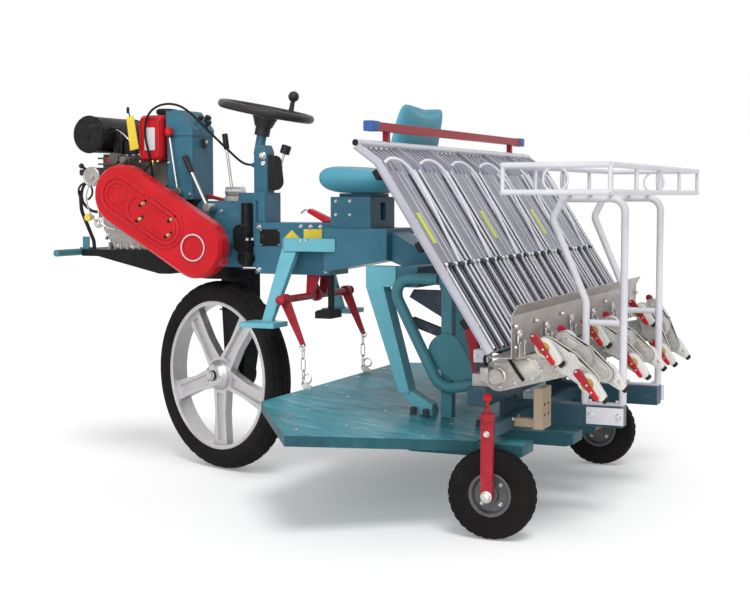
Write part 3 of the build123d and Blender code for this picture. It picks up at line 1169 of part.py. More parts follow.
def levers():
    """Bare rods of the hand levers and the small bosses that they pivot on."""
    hood_face = HOOD_LEFT_Y - HOOD_LID_OVER + RUN_GAP
    gearbox_face = GEARBOX_HALF + RUN_GAP
    side = rod((THROTTLE_LOW[0], hood_face, THROTTLE_LOW[2]),
               (THROTTLE_LOW[0], THROTTLE_LOW[1] + 7, THROTTLE_LOW[2]), 13)
    side += rod(THROTTLE_LOW, THROTTLE_TOP, 4)
    clutch = rod((CLUTCH_LOW[0], gearbox_face, CLUTCH_LOW[2]),
                 (CLUTCH_LOW[0], CLUTCH_LOW[1] + 8, CLUTCH_LOW[2]), 14)
    clutch += rod(CLUTCH_LOW, CLUTCH_TOP, 5.5)
    gate = block(GEAR_LOW[0] - 42, GEAR_LOW[0] + 16, -26, 26, GEARBOX_TOP_Z + RUN_GAP, GEARBOX_TOP_Z + 16)
    gate += rod((GEAR_LOW[0] - 44, 0, GEAR_LOW[2]), (GEAR_LOW[0] + 20, 0, GEAR_LOW[2]), 17)
    gate += rod(GEAR_LOW, GEAR_TOP, 5)
    shift = rod((SHIFT_LOW[0], -BOOT_HALF - RUN_GAP, SHIFT_LOW[2]),
                (SHIFT_LOW[0], SHIFT_LOW[1] - 5, SHIFT_LOW[2]), 9)
    shift += rod(SHIFT_LOW, SHIFT_TOP, 4)
    return Compound(children=[side, clutch, gate, shift])


def lever_grips():
    """Moulded grips and knobs that sit over the ends of the hand levers."""
    grips = []
    for low, top, rod_r, grip_r, long in ((THROTTLE_LOW, THROTTLE_TOP, 4, 11, 26),
                                          (CLUTCH_LOW, CLUTCH_TOP, 5.5, 10, 62),
                                          (GEAR_LOW, GEAR_TOP, 5, 10, 54),
                                          (SHIFT_LOW, SHIFT_TOP, 4, 17, 30)):
        a, b = Vector(*low), Vector(*top)
        along = (b - a).normalized()
        grip = rod(b - along * (long - 4), b + along * 4, grip_r)
        grip = fillet(grip.edges().filter_by(GeomType.CIRCLE), 3)
        grips.append(grip - rod(a, b + along * RUN_GAP, rod_r + PIN_GAP))
    return Compound(children=grips)


def gear_post():
    """Black cast pillar bolted to the gearbox's left side, next to the beam."""
    near = GEARBOX_HALF + RUN_GAP
    x = BEAM_FRONT_X + 24
    post = rod((x, near + 20, 712), (x, near + 20, GEARBOX_TOP_Z - 6), 18)
    post += block(x - 14, x + 14, near, near + 20, 722, 920)
    post += side_hull(x + 14, 826, 26, x + 10, 784, 28, near, near + 44)
    post += rod((x + 4, near, 738), (x + 4, near + 36, 738), 24)
    return post


def build():
    nodes = {
        "main_beam": main_beam(), "seat_box": seat_box(), "seat": seat(), "rear_legs": rear_legs(),
        "rear_tubes": rear_tubes(), "cover_plates": cover_plate(), "gearbox": gearbox(),
        "steering_column": steering_column(), "engine_base": engine_base(), "engine": engine(),
        "air_canister": air_canister(), "fuel_tank": fuel_tank(), "hood_box": hood_box(),
        "hood_stand": hood_stand(), "belt_guard": belt_guard(), "footrests": footrests(),
        "lift_shaft": lift_shaft(), "pedals": pedals(), "pontoon": pontoon(), "tool_frame": tool_frame(),
        "wheel_legs": wheel_legs(), "tray_support": tray_support(), "tray_rail": tray_rail(),
        "planting_cases": planting_cases(), "rack_frames": rack_frames(), "basket": basket(),
        "side_bracket": side_bracket(), "levers": levers(),
        "lever_grips": lever_grips(), "gear_post": gear_post(), "column_boot": column_boot(),
        "throttle_cable": throttle_cable(),
        "front_bumper": front_bumper(), "chains": chains(),
        "drive_leg": drive_leg(), "drive_rim": drive_rim(), "drive_tyre": drive_tyre(),
        "steering_wheel": steering_wheel(),
        "tray_floor": tray_floor(), "tray_ribs": tray_ribs(), "tray_walls": tray_walls(),
        "tray_frame": tray_frame(), "tray_bar": tray_bar(),
    }
    for name, side in (("left", 1), ("right", -1)):
        nodes["tyre_" + name] = rear_tyre(side)
        nodes["hub_" + name] = rear_hub(side)
    for name, index in (("left", 1), ("middle", 0), ("right", -1)):
        centre_y, turn_deg = index * CASE_PITCH, REST_TURN_DEG[name]
        nodes["rotor_" + name] = rotor(centre_y, turn_deg)
        nodes["arms_upper_" + name] = arms(centre_y, 1, turn_deg)
        nodes["arms_lower_" + name] = arms(centre_y, -1, turn_deg)
    return nodes


for node, shape in build().items():
    solids = [Pos(-MID_X, 0, 0) * solid for solid in shape.solids()]
    export_step(solids[0] if len(solids) == 1 else Compound(solids), "parts/" + node + ".step")
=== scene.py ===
"""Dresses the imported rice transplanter: its finishes, its small parts, the studio and the camera."""

import sys
import json
import math

import bmesh
import bpy
from mathutils import Matrix, Vector
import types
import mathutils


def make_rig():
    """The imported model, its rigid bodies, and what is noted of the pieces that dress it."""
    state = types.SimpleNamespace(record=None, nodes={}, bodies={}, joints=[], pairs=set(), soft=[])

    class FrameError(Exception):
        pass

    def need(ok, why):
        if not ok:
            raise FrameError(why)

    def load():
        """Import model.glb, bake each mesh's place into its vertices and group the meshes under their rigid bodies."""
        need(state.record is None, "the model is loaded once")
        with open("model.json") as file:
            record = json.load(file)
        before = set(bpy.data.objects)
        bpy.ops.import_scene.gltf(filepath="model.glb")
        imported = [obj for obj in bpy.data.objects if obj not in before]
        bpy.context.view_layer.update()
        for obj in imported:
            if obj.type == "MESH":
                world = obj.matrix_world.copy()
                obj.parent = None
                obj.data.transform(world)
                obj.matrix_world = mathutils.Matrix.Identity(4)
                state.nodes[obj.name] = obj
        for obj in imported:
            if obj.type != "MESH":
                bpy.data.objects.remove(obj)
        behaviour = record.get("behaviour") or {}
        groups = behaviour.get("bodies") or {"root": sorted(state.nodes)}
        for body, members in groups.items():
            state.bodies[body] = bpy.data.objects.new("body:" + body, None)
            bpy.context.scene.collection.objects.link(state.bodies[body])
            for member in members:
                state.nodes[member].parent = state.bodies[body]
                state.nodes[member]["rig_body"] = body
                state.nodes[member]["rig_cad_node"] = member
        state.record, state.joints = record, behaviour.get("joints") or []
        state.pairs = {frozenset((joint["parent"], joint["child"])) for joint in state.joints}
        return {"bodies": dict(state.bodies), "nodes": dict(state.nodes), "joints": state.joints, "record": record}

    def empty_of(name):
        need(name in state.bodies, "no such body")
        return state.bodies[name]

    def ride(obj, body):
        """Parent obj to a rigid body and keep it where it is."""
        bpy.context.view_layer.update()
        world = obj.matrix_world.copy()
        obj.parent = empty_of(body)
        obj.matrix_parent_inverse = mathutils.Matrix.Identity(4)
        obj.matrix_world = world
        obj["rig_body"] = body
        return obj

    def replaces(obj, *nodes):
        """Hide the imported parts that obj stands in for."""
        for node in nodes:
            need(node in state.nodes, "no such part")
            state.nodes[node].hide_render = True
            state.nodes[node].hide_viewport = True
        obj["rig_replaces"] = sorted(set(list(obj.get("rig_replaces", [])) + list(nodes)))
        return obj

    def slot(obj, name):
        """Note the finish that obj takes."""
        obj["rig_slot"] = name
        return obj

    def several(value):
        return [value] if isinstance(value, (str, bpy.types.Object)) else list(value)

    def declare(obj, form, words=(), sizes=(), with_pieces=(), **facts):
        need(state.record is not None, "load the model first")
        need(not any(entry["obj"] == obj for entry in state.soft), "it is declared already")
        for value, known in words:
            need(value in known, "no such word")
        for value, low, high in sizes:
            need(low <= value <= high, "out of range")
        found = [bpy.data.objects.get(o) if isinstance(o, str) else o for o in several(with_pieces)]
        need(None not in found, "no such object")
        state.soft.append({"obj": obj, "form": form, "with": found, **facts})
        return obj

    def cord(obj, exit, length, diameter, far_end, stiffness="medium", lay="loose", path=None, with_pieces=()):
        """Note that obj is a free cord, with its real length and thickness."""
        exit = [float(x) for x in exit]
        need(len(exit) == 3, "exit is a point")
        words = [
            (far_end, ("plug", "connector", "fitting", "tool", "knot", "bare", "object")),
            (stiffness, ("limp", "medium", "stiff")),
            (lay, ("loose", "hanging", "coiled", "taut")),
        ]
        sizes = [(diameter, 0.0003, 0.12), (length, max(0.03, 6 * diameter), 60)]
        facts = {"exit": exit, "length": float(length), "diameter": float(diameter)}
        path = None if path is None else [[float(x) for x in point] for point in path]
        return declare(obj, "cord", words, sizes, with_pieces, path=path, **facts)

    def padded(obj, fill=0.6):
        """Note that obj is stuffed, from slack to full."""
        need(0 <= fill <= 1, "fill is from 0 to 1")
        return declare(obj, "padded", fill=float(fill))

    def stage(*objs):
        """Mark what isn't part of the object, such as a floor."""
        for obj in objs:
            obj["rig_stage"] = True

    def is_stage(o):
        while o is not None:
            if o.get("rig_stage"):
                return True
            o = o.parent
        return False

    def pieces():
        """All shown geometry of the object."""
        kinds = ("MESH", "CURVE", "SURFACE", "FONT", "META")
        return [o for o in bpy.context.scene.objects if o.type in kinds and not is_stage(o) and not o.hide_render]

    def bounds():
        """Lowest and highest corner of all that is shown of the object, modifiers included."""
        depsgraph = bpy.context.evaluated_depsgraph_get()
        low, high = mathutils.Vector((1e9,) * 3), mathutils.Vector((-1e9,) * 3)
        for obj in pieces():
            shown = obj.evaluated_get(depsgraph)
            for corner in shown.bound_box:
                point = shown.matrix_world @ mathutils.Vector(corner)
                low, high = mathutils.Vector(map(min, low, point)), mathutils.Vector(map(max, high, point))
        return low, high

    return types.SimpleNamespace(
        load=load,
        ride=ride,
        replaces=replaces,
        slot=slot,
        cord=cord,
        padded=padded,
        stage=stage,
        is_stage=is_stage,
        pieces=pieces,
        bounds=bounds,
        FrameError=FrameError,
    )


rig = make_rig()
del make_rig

bl_info = {
    "name": "Rice transplanter",
    "version": (1, 0, 0),
    "blender": (4, 5, 0),
    "location": "3D View > Sidebar > Transplanter",
    "description": "Finishes and small parts of a riding rice transplanter",
    "category": "Object",
}

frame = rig.load()
CAD_BOX = [list(corner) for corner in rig.bounds()]
NODES = frame["nodes"]

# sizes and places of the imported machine, in mm
MIDDLE_MM = 690.0
ROW_COUNT = 6
ROW_PITCH = 256.667
UNIT_PITCH = 2 * ROW_PITCH
DRIVE_AT = (1188.0, 0.0, 327.0)
DRIVE_TURN_DEG = -21.0
DRIVE_RIM_R = 259.0
GROUND_Y = 592.0
GROUND_R = 126.5
GROUND_WIDE = 58.0
LEG_THICK = 16.0
LEG_FACE_Y = GROUND_Y + GROUND_WIDE / 2 + 8.0 + LEG_THICK
CRANK_FACE_Y = 120.0
BEAM_FACE_Y = 70.0
GUARD_FRONT = (1434.0, 950.0)
GUARD_REAR = (1146.0, 778.0)
GUARD_MIDDLE = (1249.7, 840.0)
PLANT_X, PLANT_Z = -215.0, 500.0
ARM_AHEAD, ARM_RISE = 60.0, 45.0
ARM_NEAR = ROW_PITCH / 2 - 28.0
ARM_FAR = ARM_NEAR + 24.0
ROTOR_R, ROTOR_END_R = 32.0, 23.0
SIDES = ((1, "left"), (-1, "right"))
# name, place in units from the middle, angle at rest in degrees
UNITS = (("left", 1, 0.0), ("middle", 0, 0.0), ("right", -1, 24.0))

BOLT_SIDES = 6
ROUND_SIDES = 24
RING_COUNT = 48
LEFT, UP, FORWARD = (0, 1, 0), (0, 0, 1), (1, 0, 0)
RIGHT, DOWN, BACK = (0, -1, 0), (0, 0, -1), (-1, 0, 0)


def at(x, y, z):
    """Point of the machine's drawing, in mm from the rear axle, as a point of the frame in metres."""
    return Vector(((x - MIDDLE_MM) / 1000, y / 1000, z / 1000))


def mm(value):
    return value / 1000


def add(name, data):
    """New object in the scene."""
    made = bpy.data.objects.new(name, data)
    bpy.context.scene.collection.objects.link(made)
    return made


class Signal:
    """Output of a node that can be used in a sum or a product."""

    def __init__(self, nodes, socket):
        self.nodes, self.socket = nodes, socket

    def _math(self, operation, first, second):
        return self.nodes.node("ShaderNodeMath", {"operation": operation}, {0: first, 1: second})

    def __add__(self, other):
        return self._math("ADD", self, other)

    def __radd__(self, other):
        return self._math("ADD", other, self)

    def __sub__(self, other):
        return self._math("SUBTRACT", self, other)

    def __rsub__(self, other):
        return self._math("SUBTRACT", other, self)

    def __mul__(self, other):
        return self._math("MULTIPLY", self, other)

    def __rmul__(self, other):
        return self._math("MULTIPLY", other, self)

    def larger(self, other):
        return self._math("MAXIMUM", self, other)

    def beside(self, name):
        """Another output of the same node."""
        return Signal(self.nodes, self.socket.node.outputs[name])

    def clamped(self):
        return self.nodes.node("ShaderNodeClamp", {}, {"Value": self})

    def between(self, low, high, out_low=0.0, out_high=1.0):
        """Straight ramp from out_low at low to out_high at high, held outside them."""
        return self.nodes.node("ShaderNodeMapRange", {"clamp": True},
                               {"Value": self, "From Min": low, "From Max": high,
                                "To Min": out_low, "To Max": out_high})


class Nodes:
    """A node tree with one shader, and the nodes that vary it."""

    def __init__(self, tree, shader):
        self.tree, self.shader = tree, tree.nodes[shader]

    def node(self, kind, settings, values, output=0):
        made = self.tree.nodes.new(kind)
        for key, value in settings.items():
            setattr(made, key, value)
        for key, value in values.items():
            socket = made.inputs[key]
            if isinstance(value, Signal):
                self.tree.links.new(value.socket, socket)
            else:
                socket.default_value = value
        return Signal(self, made.outputs[output])

    def feed(self, name, signal):
        self.tree.links.new(signal.socket, self.shader.inputs[name])


class Paint(Nodes):
    """A material with one Principled shader."""

    def __init__(self, name, **values):
        self.material = bpy.data.materials.new(name)
        self.material.use_nodes = True
        super().__init__(self.material.node_tree, "Principled BSDF")
        for key, value in values.items():
            self.shader.inputs[key.replace("_", " ")].default_value = value
        self._place = None

    def place(self, stretch=(1.0, 1.0, 1.0)):
        if self._place is None:
            self._place = self.node("ShaderNodeTexCoord", {}, {}, "Object")
        if stretch == (1.0, 1.0, 1.0):
            return self._place
        return self.node("ShaderNodeVectorMath", {"operation": "MULTIPLY"}, {0: self._place, 1: stretch})

    def noise(self, scale, detail=2.0, rough=0.5, stretch=(1.0, 1.0, 1.0)):
        return self.node("ShaderNodeTexNoise", {}, {"Vector": self.place(stretch), "Scale": scale,
                                                    "Detail": detail, "Roughness": rough}, "Fac")

    def cells(self, scale):
        return self.node("ShaderNodeTexVoronoi", {}, {"Vector": self.place(), "Scale": scale}, "Distance")

    def facing(self, direction):
        """How far the surface faces a direction, from -1 to 1."""
        plain = self.node("ShaderNodeNewGeometry", {}, {}, "Normal")
        return self.node("ShaderNodeVectorMath", {"operation": "DOT_PRODUCT"}, {0: direction, 1: plain},
                         "Value")

    def mix(self, share, first, second):
        """Colour between first and second."""
        values = {0: share, 6: first, 7: second}
        return self.node("ShaderNodeMix", {"data_type": "RGBA"}, values, 2)

    def edge(self, radius):
        """Mask that is 1 on sharp edges and 0 on flats, and the rounded normal that gives it."""
        rounded = self.node("ShaderNodeBevel", {"samples": 4}, {"Radius": radius})
        return (1.0 - self.facing(rounded)).between(0.01, 0.16), rounded

    def finished(self, shade, rough, height, depth, normal):
        """The material, with its colour, its roughness and a relief of depth in m on its normal."""
        self.feed("Base Color", shade)
        self.feed("Roughness", rough)
        relief = self.node("ShaderNodeBump", {},
                           {"Height": height, "Strength": 1.0, "Distance": depth, "Normal": normal})
        self.feed("Normal", relief)
        return self.material


def colour(value, share=1.0, lift=0.0):
    """The colour times a share, plus a lift, each of them one number or one for each channel."""
    shares, lifts = (given if isinstance(given, tuple) else (given,) * 3 for given in (share, lift))
    return (*(tone * times + plus for tone, times, plus in zip(value, shares, lifts)), 1.0)


def enamel(name, tone, gloss=0.34, wear=0.35, grime=0.5, streak=0.0, flank=None, shine=0.14):
    """Sprayed enamel: orange peel, mottled tone, scuffs and thin paint along edges.

    A streak adds brush marks and mud, with the lighter brush marks partly painted glints, and a painted side shade is
    the darker tone painted on what doesn't face up.
    """
    paint = Paint(name, Specular_IOR_Level=shine)
    edge, rounded = paint.edge(0.0022)
    cloud = paint.noise(6.0, 4.0, 0.6)
    fine = paint.noise(55.0, 3.0, 0.6)
    shade = paint.mix(cloud.between(0.3, 0.7), colour(tone, 0.90), colour(tone, 1.08))
    scuff = (fine.between(0.52, 0.72) * cloud.between(0.45, 0.65) * grime).clamped()
    shade = paint.mix(scuff * 0.35, shade, colour((0.30, 0.29, 0.26)))
    if streak:
        # Lighter brushed streaks: brush marks, and in part painted glints on the deck's paint.
        brushed = paint.noise(7.0, 5.0, 0.7, (1.0, 6.0, 3.0))
        shade = paint.mix(brushed.between(0.50, 0.66) * streak, shade, colour(tone, 1.0, (0.12, 0.22, 0.23)))
        dark = paint.noise(3.5, 5.0, 0.65, (1.6, 6.0, 3.0))
        shade = paint.mix(dark.between(0.52, 0.66) * streak * 0.8, shade, colour(tone, 0.42))
        mud = paint.noise(5.0, 4.0, 0.6, (1.2, 2.5, 2.0))
        muddy = mud.between(0.60, 0.72) * fine.between(0.3, 0.6) * 0.5
        shade = paint.mix(muddy, shade, colour((0.13, 0.15, 0.09)))
    if flank:
        # Painted shade: what doesn't face up is painted in the darker side tone, more so in cloudy patches.
        aside = paint.facing(UP).between(0.35, 0.6, 1.0, 0.0)
        shade = paint.mix(aside * cloud.between(0.2, 0.6, 0.75, 1.0), shade, colour(flank))
    worn = (edge * fine.between(0.35, 0.6) * wear).clamped()
    shade = paint.mix(worn, shade, colour(tone, 0.5, 0.30))
    rough = cloud.between(0.3, 0.7, gloss - 0.05, gloss + 0.10) + scuff * 0.2
    return paint.finished(shade, rough, fine * 0.6 + paint.noise(420.0) * 0.4, 0.0006, rounded)


def cast(name, tone, metal=0.55, rough=0.52, dirt=0.6, grain=260.0, soot=None):
    """Cast metal: fine grain, oil stains in blotches, bright rubbed edges, and soot above a height in m."""
    paint = Paint(name)
    edge, rounded = paint.edge(0.0018)
    blotch = paint.noise(14.0, 5.0, 0.65)
    fine = paint.noise(grain, 2.0, 0.7)
    stain = blotch.between(0.42, 0.80) * dirt
    shade = paint.mix(fine.between(0.35, 0.65), colour(tone, 0.86), colour(tone, 1.10))
    shade = paint.mix(stain * 0.75, shade, colour(tone, (0.30, 0.27, 0.22), (0.02, 0.015, 0.01)))
    shade = paint.mix(edge * 0.5, shade, colour(tone, 0.6, (0.32, 0.32, 0.31)))
    if soot:
        height = paint.node("ShaderNodeSeparateXYZ", {}, {"Vector": paint.place()}, "Z")
        shade = paint.mix(height.between(soot, soot + 0.07) * blotch.between(0.2, 0.6, 1.0, 0.72), shade,
                          colour((0.035, 0.030, 0.026)))
    paint.feed("Metallic", (metal - stain * 0.5).clamped())
    return paint.finished(shade, rough + stain * 0.2 - edge * 0.15, fine, 0.0007, rounded)


def steel(name, tone, rough=0.32, along=(1.0, 1.0, 1.0), dull=0.3):
    """Zinc plated or polished metal with fine drawing lines along one way and clouded patches."""
    paint = Paint(name)
    rounded = paint.edge(0.0012)[1]
    lines = paint.noise(160.0, 2.0, 0.6, along)
    cloud = paint.noise(9.0, 4.0, 0.6)
    shade = paint.mix(lines.between(0.3, 0.7), colour(tone, 0.86), colour(tone, 1.06))
    shade = paint.mix(cloud.between(0.5, 0.72) * dull, shade, colour(tone, (0.5, 0.49, 0.46)))
    paint.feed("Metallic", 0.96 - cloud.between(0.5, 0.8) * dull)
    rough = lines.between(0.3, 0.7, rough - 0.06, rough + 0.08) + cloud.between(0.5, 0.75) * 0.15
    return paint.finished(shade, rough, lines, 0.00015, rounded)


def rubber(name, tone=(0.018, 0.018, 0.019), dust=0.35, rough=0.72, scale=240.0):
    """Black rubber with a fine skin and pale dust in patches."""
    paint = Paint(name, Specular_IOR_Level=0.08)
    edge, rounded = paint.edge(0.0015)
    cloud = paint.noise(11.0, 5.0, 0.65)
    fine = paint.noise(scale, 2.0, 0.6)
    powder = (cloud.between(0.46, 0.72) * fine.between(0.35, 0.7) * dust).clamped()
    shade = paint.mix(powder, colour(tone), colour((0.17, 0.155, 0.13)))
    return paint.finished(shade, rough + powder * 0.2 - edge * 0.08, fine, 0.0004, rounded)


def moulded(name, tone, rough=0.42, grain=520.0, depth=0.0003, sheen=0.12):
    """Moulded plastic or vinyl: even tone, pebbled skin, and a painted sheen where it is handled: lighter colour along
    its edges.
    """
    paint = Paint(name, Coat_Weight=sheen, Coat_Roughness=0.35, Specular_IOR_Level=0.15)
    edge, rounded = paint.edge(0.0015)
    cloud = paint.noise(5.0, 3.0, 0.55)
    shade = paint.mix(cloud.between(0.3, 0.7), colour(tone, 0.92), colour(tone, 1.07))
    # Painted sheen: edges painted lighter where the plastic is handled.
    shade = paint.mix(edge * 0.25, shade, colour(tone, 1.0, 0.08))
    rough = cloud.between(0.3, 0.7, rough - 0.06, rough + 0.08)
    return paint.finished(shade, rough, paint.cells(grain), depth, rounded)


FINISH = {}


def make_finishes(tones):
    """Every finish of the machine, by the name that the pieces ask for."""
    across = (0.02, 3.0, 0.02)
    # material, tone, gloss, wear, grime, streak, painted side shade, shine
    enamels = {
        "teal": ("teal_enamel", tones.teal),
        "teal_light": ("pale_teal_enamel", tones.teal_light, 0.36, 0.3),
        "teal_mid": ("weathered_teal_enamel", (0.060, 0.200, 0.240), 0.36, 0.4, 0.7),
        # The deck's sides are painted a darker tone as painted shade.
        "deck": ("brushed_deck_enamel", tones.deck, 0.30, 0.3, 0.5, 0.85, (0.028, 0.085, 0.105), 0.04),
        "dark_teal": ("dark_teal_enamel", tones.dark_teal),
        "red": ("red_enamel", tones.red, 0.26, 0.15, 0.08),
        # Deep red enamel, with its tone darkened in part to paint in the shade on the wheel legs.
        "deep_red": ("deep_red_enamel", tones.deep_red, 0.34, 0.3, 0.6),
        "white": ("white_enamel", tones.white, 0.34, 0.12, 0.35),
        "cream": ("cream_enamel", tones.cream, 0.38, 0.25, 0.75),
        "beige": ("beige_primer", tones.beige, 0.55, 0.35, 0.6),
        "yellow": ("yellow_plate", tones.yellow, 0.40, 0.2, 0.3),
        "ochre": ("ochre_seal", (0.42, 0.27, 0.05), 0.5, 0.2, 0.8),
        "blue": ("blue_cap", (0.045, 0.12, 0.36), 0.42, 0.2, 0.3),
        "lime": ("lime_label", (0.62, 0.66, 0.10), 0.45, 0.1, 0.3),
        "black": ("black_enamel", (0.010, 0.010, 0.011), 0.42, 0.25, 0.3),
        "slate": ("slate_enamel", (0.045, 0.055, 0.075), 0.45, 0.35, 0.6),
        "rod": ("rod_enamel", (0.70, 0.70, 0.75), 0.3, 0.1, 0.2),
    }
    # material, tone, metal, roughness, dirt, grain, soot
    castings = {
        "cast": ("aluminium_casting", (0.46, 0.435, 0.405), 0.5, 0.42, 0.75, 180.0),
        "engine": ("engine_casting", (0.34, 0.325, 0.30), 0.55, 0.46, 0.8, 180.0, 0.955),
        "rotor": ("rotor_casting", (0.50, 0.49, 0.47), 0.55, 0.36, 0.75, 180.0),
        "dark_cast": ("oily_casting", (0.19, 0.175, 0.155), 0.4, 0.6, 0.85),
        "wheel_cast": ("wheel_casting", (0.56, 0.55, 0.56), 0.8, 0.30, 0.22, 500.0),
        "hub_cast": ("hub_casting", (0.10, 0.10, 0.11), 0.4, 0.55, 0.5),
    }
    # material, tone, roughness, stretch of the drawing lines, dull patches
    metals = {
        "zinc": ("zinc_plate", (0.60, 0.60, 0.58)),
        "bright": ("bright_steel", (0.74, 0.74, 0.74), 0.22),
        "brass": ("brass", (0.66, 0.48, 0.20), 0.30),
        "tray_sheet": ("tray_sheet", (0.31, 0.31, 0.365), 0.42, across, 0.12),
        # Also the finish of the dark sheets of painted shade in the tray's gaps between the rods.
        "tray_dark": ("tray_dark", (0.030, 0.030, 0.034), 0.65, across, 0.4),
        "tray_rib": ("tray_rib", (0.44, 0.44, 0.49), 0.36, across, 0.08),
        "rail_sheet": ("rail_sheet", (0.40, 0.37, 0.35), 0.40, (6.0, 0.25, 6.0), 0.3),
    }
    # material, tone, dust, roughness, grain
    rubbers = {
        "tyre": ("tyre_rubber", (0.009, 0.008, 0.008), 0.10),
        "rubber": ("plain_rubber", (0.02, 0.02, 0.021), 0.2, 0.6),
        "hose": ("hose_rubber", (0.012, 0.012, 0.013), 0.1, 0.42, 600.0),
    }
    # material, tone, roughness, grain, depth in m, coat
    plastics = {
        "plastic": ("black_plastic", (0.020, 0.020, 0.022)),
        "vinyl": ("teal_vinyl", tones.seat, 0.46, 380.0, 0.0005, 0.08),
        "grip": ("steering_grip", (0.030, 0.027, 0.028), 0.38, 700.0, 0.0003),
    }
    for make, table in ((enamel, enamels), (cast, castings), (steel, metals), (rubber, rubbers),
                        (moulded, plastics)):
        for finish, values in table.items():
            FINISH[finish] = make(*values)


CAD_FINISHES = {
    "teal": ("main_beam", "seat_box", "gearbox", "steering_column", "hood_box"),
    "teal_mid": ("rear_tubes", "front_bumper"),
    "teal_light": ("footrests", "rear_legs"),
    "deck": ("pontoon",),
    "dark_teal": ("tool_frame",),
    "slate": ("cover_plates",),
    "red": ("belt_guard", "fuel_tank"),
    "deep_red": ("lift_shaft", "tray_support", "wheel_legs", "tray_bar"),
    "black": ("engine_base", "hood_stand", "gear_post", "drive_leg", "air_canister"),
    "engine": ("engine",),
    "cast": ("planting_cases",),
    "rotor": ("rotor_left", "rotor_middle", "rotor_right"),
    "wheel_cast": ("drive_rim",),
    "hub_cast": ("hub_left", "hub_right"),
    "zinc": ("levers", "chains"),
    "tray_sheet": ("tray_floor",),
    "tray_dark": ("tray_frame",),
    "tray_rib": ("tray_ribs", "tray_walls"),
    "rail_sheet": ("tray_rail",),
    "tyre": ("drive_tyre", "tyre_left", "tyre_right"),
    "rubber": ("pedals", "column_boot"),
    "plastic": ("lever_grips",),
    "hose": ("throttle_cable",),
    "grip": ("steering_wheel",),
    "vinyl": ("seat",),
    "white": ("rack_frames", "basket"),
    "beige": ("side_bracket",),
    "cream": tuple("arms_%s_%s" % (level, unit) for level in ("upper", "lower") for unit, _, _ in UNITS),
}


